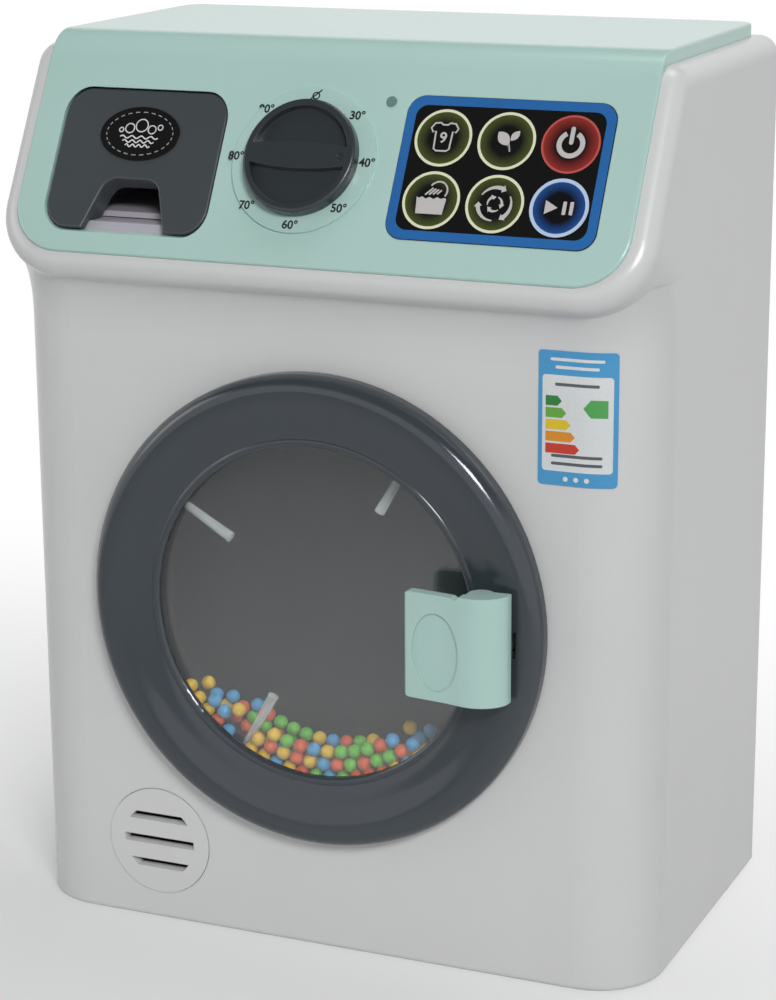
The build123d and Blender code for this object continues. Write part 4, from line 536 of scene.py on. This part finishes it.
panel = fascia_place(PANEL_X, PANEL_RISE, PANEL_TOP)
border = [rounded_box(PANEL_W - 2 * BORDER_INSET, PANEL_H - 2 * BORDER_INSET, BORDER_CORNER),
          rounded_box(PANEL_W - 2 * BORDER, PANEL_H - 2 * BORDER, SCREEN_CORNER)]
printed("panel_border", border, film_blue, panel, "housing")
print("panel border drawn")

# %% [markdown]
# ## Key glow
#
# Every key is a disc printed with a bright thin ring and a dim glow that fades inwards. The
# colour depends only on the distance from the disc's own centre, so one material with a colour
# ramp draws it. The disc's origin is at its centre for that.

# %% A ring that glows inwards
KEY_R = 8.8
CORE_SHARE = 0.5
LINE_BLUR = 0.005
GLOW_CLOUD_SIZE = 4
GLOW_DRIFT = 0.02
# The Mix node has several sockets of one name, so its colour sockets are taken by number.
MIX_FACTOR, MIX_A, MIX_B, MIX_RESULT = 0, 6, 7, 2


def glow_material(name, ring, glow, core, line_from=0.905):
    """The bright line starts at line_from, a share of the key's radius."""
    material, tree, output = new_tree(name)
    place = add_node(tree, "ShaderNodeTexCoord").outputs["Object"]
    reach = add_node(tree, "ShaderNodeVectorMath", {"operation": "LENGTH"}, {0: place})
    share = add_node(tree, "ShaderNodeMath", {"operation": "DIVIDE"}, {
        0: reach.outputs["Value"], 1: KEY_R * MM}).outputs["Value"]
    drift = between(tree, noise(tree, place, GLOW_CLOUD_SIZE, 2.0), -GLOW_DRIFT, GLOW_DRIFT)
    mixed = add_node(tree, "ShaderNodeMath", {"operation": "ADD"}, {0: share, 1: drift})
    inner = add_node(tree, "ShaderNodeValToRGB", None, {"Fac": mixed.outputs["Value"]})
    first, last = inner.color_ramp.elements
    first.position, first.color = CORE_SHARE, linear(core)
    last.position, last.color = line_from - LINE_BLUR, linear(glow)
    line = add_node(tree, "ShaderNodeMath", {"operation": "GREATER_THAN"}, {
        0: share, 1: line_from})
    colour = add_node(tree, "ShaderNodeMix", {"data_type": "RGBA"}, {
        MIX_FACTOR: line.outputs["Value"], MIX_A: inner.outputs["Color"], MIX_B: linear(ring)})
    shader = add_node(tree, "ShaderNodeBsdfPrincipled", None, {
        "Base Color": colour.outputs[MIX_RESULT], "Roughness": FILM_ROUGHNESS,
        "Coat Weight": FILM_COAT, "Coat Roughness": 0.05})
    tree.links.new(shader.outputs["BSDF"], output.inputs["Surface"])
    return material


lime_key = glow_material("lime_key_ink", "#E9ECC9", "#4B5427", "#0B0B0B")
red_key = glow_material("red_key_ink", "#C65A52", "#96302A", "#120808", line_from=0.93)
blue_key = glow_material("blue_key_ink", "#C3D4F0", "#1F4E93", "#05060A", line_from=0.88)
KEY_INKS = {(2, 0): red_key, (2, 1): blue_key}
for column, key_x in enumerate(KEY_X):
    for row, key_rise in enumerate(KEY_RISE):
        ink = KEY_INKS.get((column, row), lime_key)
        place = fascia_place(PANEL_X + key_x, PANEL_RISE + key_rise, PANEL_TOP)
        printed(f"key_{column}_{row}", [circle(KEY_R, steps=64)], ink, place, "housing")
print("six keys drawn")

# %% [markdown]
# ## Key symbols
#
# The symbols say what a key does without a word: a shirt with a count, a leaf, power, hand
# wash, recycling arrows, play and pause. Each is a few outlines, drawn in millimetres round
# the centre of its key, and lies on the disc.

# %% Shirt, leaf and power


def text_mesh(name, words, size, thick, bold=0.018):
    curve = bpy.data.curves.new(name, "FONT")
    curve.body = words
    curve.size = size * MM
    curve.offset = bold * size * MM
    curve.extrude = thick / 2 * MM
    curve.align_x = "CENTER"
    curve.align_y = "CENTER"
    return solid_mesh(name, curve, thick)


SHIRT = [(-1.5, 4.6), (-0.7, 4.0), (0.7, 4.0), (1.5, 4.6), (3.2, 4.4), (4.2, 2.9), (3.5, 1.7),
         (2.6, 2.0), (2.4, -3.4), (1.6, -4.0), (-1.6, -4.0), (-2.4, -3.4), (-2.6, 2.0),
         (-3.5, 1.7), (-4.2, 2.9), (-3.2, 4.4)]


def leaf(length, width, x, y, turn):
    half = [(length * t, width * math.sin(math.pi * t) ** 0.8) for t in [i / 12 for i in range(13)]]
    loop = half + [(px, -py) for px, py in half[-2:0:-1]]
    return moved([loop], x, y, 1.0, turn)


symbols = {
    (0, 0): stroke(SHIRT, 0.5, closed=True),
    (1, 0): [*leaf(5.4, 1.7, 0.9, -1.2, 134), *leaf(3.8, 1.1, 1.2, 0.2, 52),
             *stroke([(1.5, -3.2), (1.0, -1.3), (0.9, -0.9)], 0.4)],
    (2, 0): stroke(arc(3.5, 62, -242, steps=32), 1.5) + moved([rounded_box(1.3, 5.4, 0.6)], 0, 2.6),
}
print("first symbols:", len(symbols))

# %% Basin, arrows, play and pause
ARROW_STEPS = 14
HEAD_SHARE = 0.95
HEAD_LEAD = 74.8
COUNT_SIZE = 4.6
COUNT_DROP = 0.1


def arrow_arc(radius, width, start, end):
    """Curved arrow that runs clockwise: a band that tapers at its tail, with a head.

    HEAD_LEAD is how far the tip runs ahead of the band, in degrees at a radius of 1 mm.
    """
    outer, inner = [], []
    for i in range(ARROW_STEPS + 1):
        share = i / ARROW_STEPS
        turn = math.radians(start + (end - start) * share)
        half = width * (0.15 + 0.35 * share)
        outer.append(((radius + half) * math.cos(turn), (radius + half) * math.sin(turn)))
        inner.append(((radius - half) * math.cos(turn), (radius - half) * math.sin(turn)))
    lead = math.radians(end - HEAD_LEAD / radius)
    tip = (radius * math.cos(lead), radius * math.sin(lead))
    last = math.radians(end)
    wide = [((radius + k * width) * math.cos(last), (radius + k * width) * math.sin(last))
            for k in (HEAD_SHARE, -HEAD_SHARE)]
    return [outer + [wide[0], tip, wide[1]] + inner[::-1]]


BASIN = [(-4.6, 0.9), (-3.9, 0.5), (-2.9, 1.0), (-1.8, 0.4), (-0.6, 0.9), (0.6, 0.4), (1.8, 1.0),
         (2.9, 0.5), (3.9, 0.9), (4.6, 0.6), (4.1, -4.2), (-4.1, -4.2)]
hand = []
for finger in range(4):
    knuckle = (-1.6 + finger * 1.0, 1.7 + 0.1 * finger)
    fingertip = (0.2 + finger * 0.75, 3.5 - 0.15 * finger)
    hand += stroke([knuckle, fingertip], FINE_LINE)
hand += stroke(arc(2.3, -35, 150, 1.6, 2.9, steps=16), FINE_LINE)
arrows = []
for turn in (0, 120, 240):
    arrows += moved(arrow_arc(5.0, 1.3, 150, 70), 0, 0, 1.0, turn)
    arrows += moved(arrow_arc(2.2, 0.9, 150, 78), 0, 0, 1.0, turn + 40)
symbols[(0, 1)] = [BASIN] + moved(hand, -0.2, -0.5, 1.2)
symbols[(1, 1)] = arrows
symbols[(2, 1)] = [[(-4.2, 2.1), (-0.4, 0), (-4.2, -2.1)], *moved([rounded_box(1.1, 4.0, 0.3)], 1.6, 0),
                   *moved([rounded_box(1.1, 4.0, 0.3)], 3.7, 0)]
for (column, row), loops in symbols.items():
    place = fascia_place(PANEL_X + KEY_X[column], PANEL_RISE + KEY_RISE[row],
                         PANEL_TOP + PRINT_THICK)
    printed(f"symbol_{column}_{row}", loops, film_white, place, "housing")
count_place = fascia_place(PANEL_X + KEY_X[0], PANEL_RISE + KEY_RISE[0] - COUNT_DROP,
                           PANEL_TOP + PRINT_THICK)
count = as_object("shirt_count", text_mesh("shirt_count", "9", COUNT_SIZE, PRINT_THICK),
                  film_white, count_place)
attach(count, "housing")
print("symbols drawn:", len(symbols))

# %% [markdown]
# ## Dial marks
#
# Seven temperatures and an off mark stand round the dial, pad printed in black on the raised
# disc. The numbers stay upright, so only their places turn. Those on the left stand up to
# MARK_SHIFT further out, where the knob hides less of them from the camera.

# %% Marks round the dial
DIAL_X = -5.6
DIAL_RISE = 17.4
DISC_TOP = 0.8
MARK_R = 20.4
MARK_SHIFT = 1.5
MARK_TURN = 45
MARK_SIZE = 3.6
MARK_BOLD = 0.026
MARKS = ["30°", "40°", "50°", "60°", "70°", "80°", "90°"]

for place_number, words in enumerate(MARKS, start=1):
    turn = math.radians(90 - MARK_TURN * place_number)
    reach = MARK_R + max(0, -MARK_SHIFT * math.cos(turn))
    place = fascia_place(DIAL_X + reach * math.cos(turn), DIAL_RISE + reach * math.sin(turn), DISC_TOP)
    mark_name = f"mark_{words[:2]}"
    mark_mesh = text_mesh(mark_name, words, MARK_SIZE, PRINT_THICK, bold=MARK_BOLD)
    mark = as_object(mark_name, mark_mesh, black_ink, place)
    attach(mark, "housing")
off_place = fascia_place(DIAL_X, DIAL_RISE + MARK_R, DISC_TOP)
off_loops = stroke(circle(1.05, y=-0.3, steps=24), FINE_LINE, closed=True)
printed("mark_off_ring", off_loops, black_ink, off_place, "housing")
printed("mark_off_slash", stroke([(-1.6, -1.4), (1.6, 1.6)], FINE_LINE), black_ink,
        fascia_place(DIAL_X, DIAL_RISE + MARK_R, DISC_TOP + PRINT_THICK), "housing")
print("dial marks:", len(MARKS) + 1)

# %% [markdown]
# ## Drawer badge
#
# The badge is an oval of black film with a dashed line near its edge. A generic picture of
# bubbles over waves fills it.

# %% Dashes, bubbles and waves of the badge
BADGE_X = -61.4
BADGE_RISE = 23.0
BADGE_HALF = (13.3, 8.6)
BADGE_TOP = 0.2
DASHES = 26
DASH_SHARES = (0.0, 0.2, 0.4, 0.55)
DASH_REACH = (BADGE_HALF[0] * 0.84, BADGE_HALF[1] * 0.8)
DASH_LINE = 0.28
WAVE_ROWS = 3
WAVE_HALF = 6.4
WAVE_SHRINK = 1.1
WAVE_TOP = -1.2
WAVE_PITCH = 1.35
WAVE_HEIGHT = 0.42
WAVE_COUNT = 4
WAVE_STEPS = 36
BUBBLES = ((-3.6, 1.6, 1.5), (0.3, 2.6, 2.0), (3.9, 1.4, 1.3), (-6.4, 1.0, 0.7), (6.6, 2.2, 0.8))
BUBBLE_LINE = 0.36

badge = fascia_place(BADGE_X, BADGE_RISE, BADGE_TOP)
dash_loops = []
for step in range(DASHES):
    turns = [2 * math.pi * (step + share) / DASHES for share in DASH_SHARES]
    line = [(DASH_REACH[0] * math.cos(t), DASH_REACH[1] * math.sin(t)) for t in turns]
    dash_loops += stroke(line, DASH_LINE)
printed("badge_dashes", dash_loops, badge_grey, badge, "drawer")
waves = []
for row in range(WAVE_ROWS):
    half = WAVE_HALF - row * WAVE_SHRINK
    points = []
    for step in range(WAVE_STEPS + 1):
        swing = WAVE_HEIGHT * math.sin(2 * math.pi * WAVE_COUNT * step / WAVE_STEPS)
        points.append((-half + 2 * half * step / WAVE_STEPS, WAVE_TOP - row * WAVE_PITCH + swing))
    waves += stroke(points, FINE_LINE)
bubbles = []
for x, y, radius in BUBBLES:
    bubbles += stroke(circle(radius, x, y, 32), BUBBLE_LINE, closed=True)
printed("badge_picture", waves + bubbles, badge_white, badge, "drawer")
print("badge drawn:", DASHES, "dashes")

# %% [markdown]
# ## Rating label
#
# The label is a paper sticker that goes round the rounded corner of the cabinet. Its print is
# drawn flat, cut into narrow strips and bent onto the cabinet, so that it follows the curve.

# %% Bending a print onto the cabinet
CORNER_R = 22.0
CORNER_X = 83.0
FLARE_START = 192.0
FLARE_HEIGHT = 24.0
FLARE_REACH = 12.6
FLARE_POWER = 2.6
LABEL_TOP = 0.26
STRIP = 0.8
CUT_TOLERANCE = 1e-7


def cabinet_front(x, z):
    """How far forward the cabinet's skin is, as y in millimetres."""
    y = FRONT_Y
    if z > FLARE_START:
        y -= FLARE_REACH * ((z - FLARE_START) / FLARE_HEIGHT) ** FLARE_POWER
    if x > CORNER_X:
        y += CORNER_R - math.sqrt(CORNER_R ** 2 - (x - CORNER_X) ** 2)
    return y


def bend_onto_cabinet(mesh, lift):
    work = bmesh.new()
    work.from_mesh(mesh)
    low, high = min(v.co.x for v in work.verts), max(v.co.x for v in work.verts)
    for step in range(int((high - low) / (STRIP * MM)) + 1):
        cut_x = low + step * STRIP * MM
        if cut_x > (CORNER_X - 1) * MM:
            geometry = work.verts[:] + work.edges[:] + work.faces[:]
            bmesh.ops.bisect_plane(work, geom=geometry, plane_co=(cut_x, 0, 0),
                                   plane_no=(1, 0, 0), dist=CUT_TOLERANCE)
    for vertex in work.verts:
        x, z, out = vertex.co
        skin = cabinet_front(x / MM, z / MM)
        vertex.co = (x, skin * MM - out - lift * MM, z)
    bmesh.ops.recalc_face_normals(work, faces=work.faces)
    work.to_mesh(mesh)
    work.free()


def label_print(name, loops, material, lift=LABEL_TOP):
    mesh = plate_mesh(name, loops, PRINT_THICK)
    bend_onto_cabinet(mesh, lift)
    piece = as_object(name, mesh, material)
    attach(piece, "housing")
    return piece


print("corner skin at x 90:", cabinet_front(90, 170))

# %% White field, bars and lines of the label
LABEL_X = 82.2
FIELD_W = 20.8
FIELD_LOW = 162.0
FIELD_HIGH = 190.3
BAR_COLOURS = ["#2E8B3D", "#6FB544", "#F2D22E", "#EE9A2B", "#D8402F"]
BAR_LEFT = 72.8
BAR_TOP = 184.2
BAR_PITCH = 3.5
BAR_H = 2.9
BAR_SHORTEST = 3.6
BAR_GROWTH = 1.35
BAR_POINT = 1.3
TAG = [(91.2, 183.6), (86.4, 183.6), (84.2, 181.0), (86.4, 178.4), (91.2, 178.4)]
LINE_H = 0.9
LINE_CORNER = 0.3
GREY_LINES = ((187.6, 6.6), (166.6, 7.6), (164.3, 7.6))
WHITE_LINES = ((194.9, 8.0), (192.6, 6.5))
DOT_R = 0.75
DOT_Z = 159.8
DOT_PITCH = 3.2
OVER_FIELD = LABEL_TOP + PRINT_THICK


def text_line(z, half):
    """A plain bar where the photographed label has a line of words."""
    return rounded_box(2 * half, LINE_H, LINE_CORNER, LABEL_X, z, steps=2)


field_z = (FIELD_LOW + FIELD_HIGH) / 2
field = [rounded_box(FIELD_W, FIELD_HIGH - FIELD_LOW, 1.0, LABEL_X, field_z, steps=4)]
label_print("label_field", field, label_white)
for row, colour in enumerate(BAR_COLOURS):
    top = BAR_TOP - row * BAR_PITCH
    end = BAR_LEFT + BAR_SHORTEST + row * BAR_GROWTH
    arrow = [(BAR_LEFT, top), (end, top), (end + BAR_POINT, top - BAR_H / 2),
             (end, top - BAR_H), (BAR_LEFT, top - BAR_H)]
    label_print(f"label_bar_{row}", [arrow], printing_ink(f"bar_ink_{row}", colour), OVER_FIELD)
label_print("label_tag", [TAG], printing_ink("tag_ink", "#58B05A"), OVER_FIELD)
label_print("label_lines", [text_line(*line) for line in GREY_LINES], label_grey, OVER_FIELD)
heads = [text_line(*line) for line in WHITE_LINES]
heads += [circle(DOT_R, LABEL_X + offset, DOT_Z, 20) for offset in (-DOT_PITCH, 0, DOT_PITCH)]
label_print("label_head", heads, label_white)
print("label drawn with", len(BAR_COLOURS), "bars")

# %% [markdown]
# ## Floor
#
# A pale table that keeps the shadow of the toy. It fades out to the white of the world behind
# and beside the toy, so there is no horizon. The fade is centred in front of the toy, where the
# table stays whole and lies in the dusk outside the beams: the door window mirrors that part.
# The table belongs to the stage, not to the toy.

# %% Pale floor
FLOOR_HALF = 2.6
FADE_CENTRE = (-0.12, -0.5, 0.0)
FADE_FROM = 0.3
FADE_TO = 0.9


def floor_material():
    material, tree, output = new_tree("pale_table")
    place = add_node(tree, "ShaderNodeTexCoord").outputs["Object"]
    reach = add_node(tree, "ShaderNodeVectorMath", {"operation": "DISTANCE"}, {
        0: place, 1: FADE_CENTRE})
    fade = add_node(tree, "ShaderNodeMapRange", {"interpolation_type": "SMOOTHSTEP"}, {
        "Value": reach.outputs["Value"], "From Min": FADE_FROM, "From Max": FADE_TO,
        "To Min": 0.0, "To Max": 1.0})
    matt = add_node(tree, "ShaderNodeBsdfPrincipled", None, {
        "Base Color": linear("#F7F7F7"), "Roughness": 0.9})
    clear = add_node(tree, "ShaderNodeBsdfTransparent")
    mix = add_node(tree, "ShaderNodeMixShader", None, {
        0: fade.outputs["Result"], 1: matt.outputs["BSDF"], 2: clear.outputs["BSDF"]})
    tree.links.new(mix.outputs["Shader"], output.inputs["Surface"])
    return material


floor_mesh = bpy.data.meshes.new("table")
corners = [(x * FLOOR_HALF, y * FLOOR_HALF, 0) for x, y in ((-1, -1), (1, -1), (1, 1), (-1, 1))]
floor_mesh.from_pydata(corners, [], [(0, 1, 2, 3)])
floor = as_object("table", floor_mesh, floor_material())
print("floor ready")

# %% [markdown]
# ## Light
#
# Soft studio light: the main lamp is above and to the right, as the bright side face and the
# two streaks on the door ring tell, with a weaker one on the left and one overhead. The world
# is a pale studio: white walls up to 20 degrees above the horizon, which turn into a dim
# ceiling by 38 degrees, so that black prints on the sloping fascia reflect the ceiling and stay
# black. Only rays that see the world directly, in a mirror or through glass meet these walls,
# and all other light from the world is an even glow.

# %% Lamps and world
ROOM_GLOW = 0.27
CEILING = 0.1
WALL_END = 0.34
CEILING_START = 0.62


def soft_box(name, place, target, size, watts, beam):
    """Rectangular lamp with a grid that keeps its light in a beam this wide, in degrees."""
    data = bpy.data.lights.new(name, "AREA")
    data.shape = "RECTANGLE"
    data.size, data.size_y = size
    data.energy = watts
    data.spread = math.radians(beam)
    lamp = bpy.data.objects.new(name, data)
    bpy.context.scene.collection.objects.link(lamp)
    lamp.location = place
    aim = Vector(target) - Vector(place)
    lamp.rotation_euler = aim.to_track_quat("-Z", "Y").to_euler()


soft_box("key_lamp", (0.95, -1.35, 1.15), (0.03, 0, 0.17), (0.55, 0.4), 1.5, 50)
soft_box("left_lamp", (-1.5, -0.7, 0.7), (0, 0, 0.16), (0.6, 0.8), 0.3, 60)
soft_box("top_lamp", (0.1, 0.25, 1.5), (0, 0, 0.1), (0.9, 0.7), 0.72, 60)

world = bpy.data.worlds.new("studio")
bpy.context.scene.world = world
world.use_nodes = True
tree = world.node_tree
tree.nodes.clear()
path = add_node(tree, "ShaderNodeLightPath")
seen = add_node(tree, "ShaderNodeMath", {"operation": "MAXIMUM"}, {
    0: path.outputs["Is Camera Ray"], 1: path.outputs["Is Glossy Ray"]})
seen = add_node(tree, "ShaderNodeMath", {"operation": "MAXIMUM"}, {
    0: seen.outputs["Value"], 1: path.outputs["Is Transmission Ray"]})
direction = add_node(tree, "ShaderNodeTexCoord").outputs["Generated"]
height = add_node(tree, "ShaderNodeSeparateXYZ", None, {"Vector": direction}).outputs["Z"]
walls = add_node(tree, "ShaderNodeMapRange", {"interpolation_type": "SMOOTHSTEP"}, {
    "Value": height, "From Min": WALL_END, "From Max": CEILING_START,
    "To Min": 1.0, "To Max": CEILING})
glow = add_node(tree, "ShaderNodeBackground", None, {
    "Color": linear("#F2F4F6"), "Strength": ROOM_GLOW})
white = add_node(tree, "ShaderNodeBackground", None, {
    "Color": linear("#FFFFFF"), "Strength": walls.outputs["Result"]})
mix = add_node(tree, "ShaderNodeMixShader", None, {
    0: seen.outputs["Value"], 1: glow.outputs["Background"], 2: white.outputs["Background"]})
add_node(tree, "ShaderNodeOutputWorld", None, {"Surface": mix.outputs["Shader"]})
bpy.context.scene.view_settings.view_transform = "Standard"
print("lamps:", len(bpy.data.lights))

# %% [markdown]
# ## Camera
#
# The camera stands right of the middle, a little above the toy and nearly a metre away, with a
# long lens. Its place was solved from the photograph, and a small shift frames the toy alike.

# %% Camera
AZIMUTH = math.radians(23.92)
ELEVATION = math.radians(15.78)
ROLL = math.radians(-0.50)
CAMERA_PLACE = (338.1, -778.05, 363.9)
SENSOR = 24.0
LENS = 2.770 * SENSOR
SHIFT = (0.0254, 0.0269)

back = Vector((math.sin(AZIMUTH) * math.cos(ELEVATION),
               -math.cos(AZIMUTH) * math.cos(ELEVATION), math.sin(ELEVATION)))
level_right = Vector((math.cos(AZIMUTH), math.sin(AZIMUTH), 0))
level_up = back.cross(level_right)
right = level_right * math.cos(ROLL) + level_up * math.sin(ROLL)
up = level_up * math.cos(ROLL) - level_right * math.sin(ROLL)
camera_data = bpy.data.cameras.new("camera")
camera_data.sensor_fit = "VERTICAL"
camera_data.sensor_height = SENSOR
camera_data.lens = LENS
camera_data.shift_x, camera_data.shift_y = SHIFT
camera_data.clip_end = 20
camera = bpy.data.objects.new("camera", camera_data)
bpy.context.scene.collection.objects.link(camera)
pose = Matrix((right, up, back)).transposed().to_4x4()
pose.translation = Vector(CAMERA_PLACE) * MM
camera.matrix_world = pose
bpy.context.scene.camera = camera
print("camera:", camera.location)
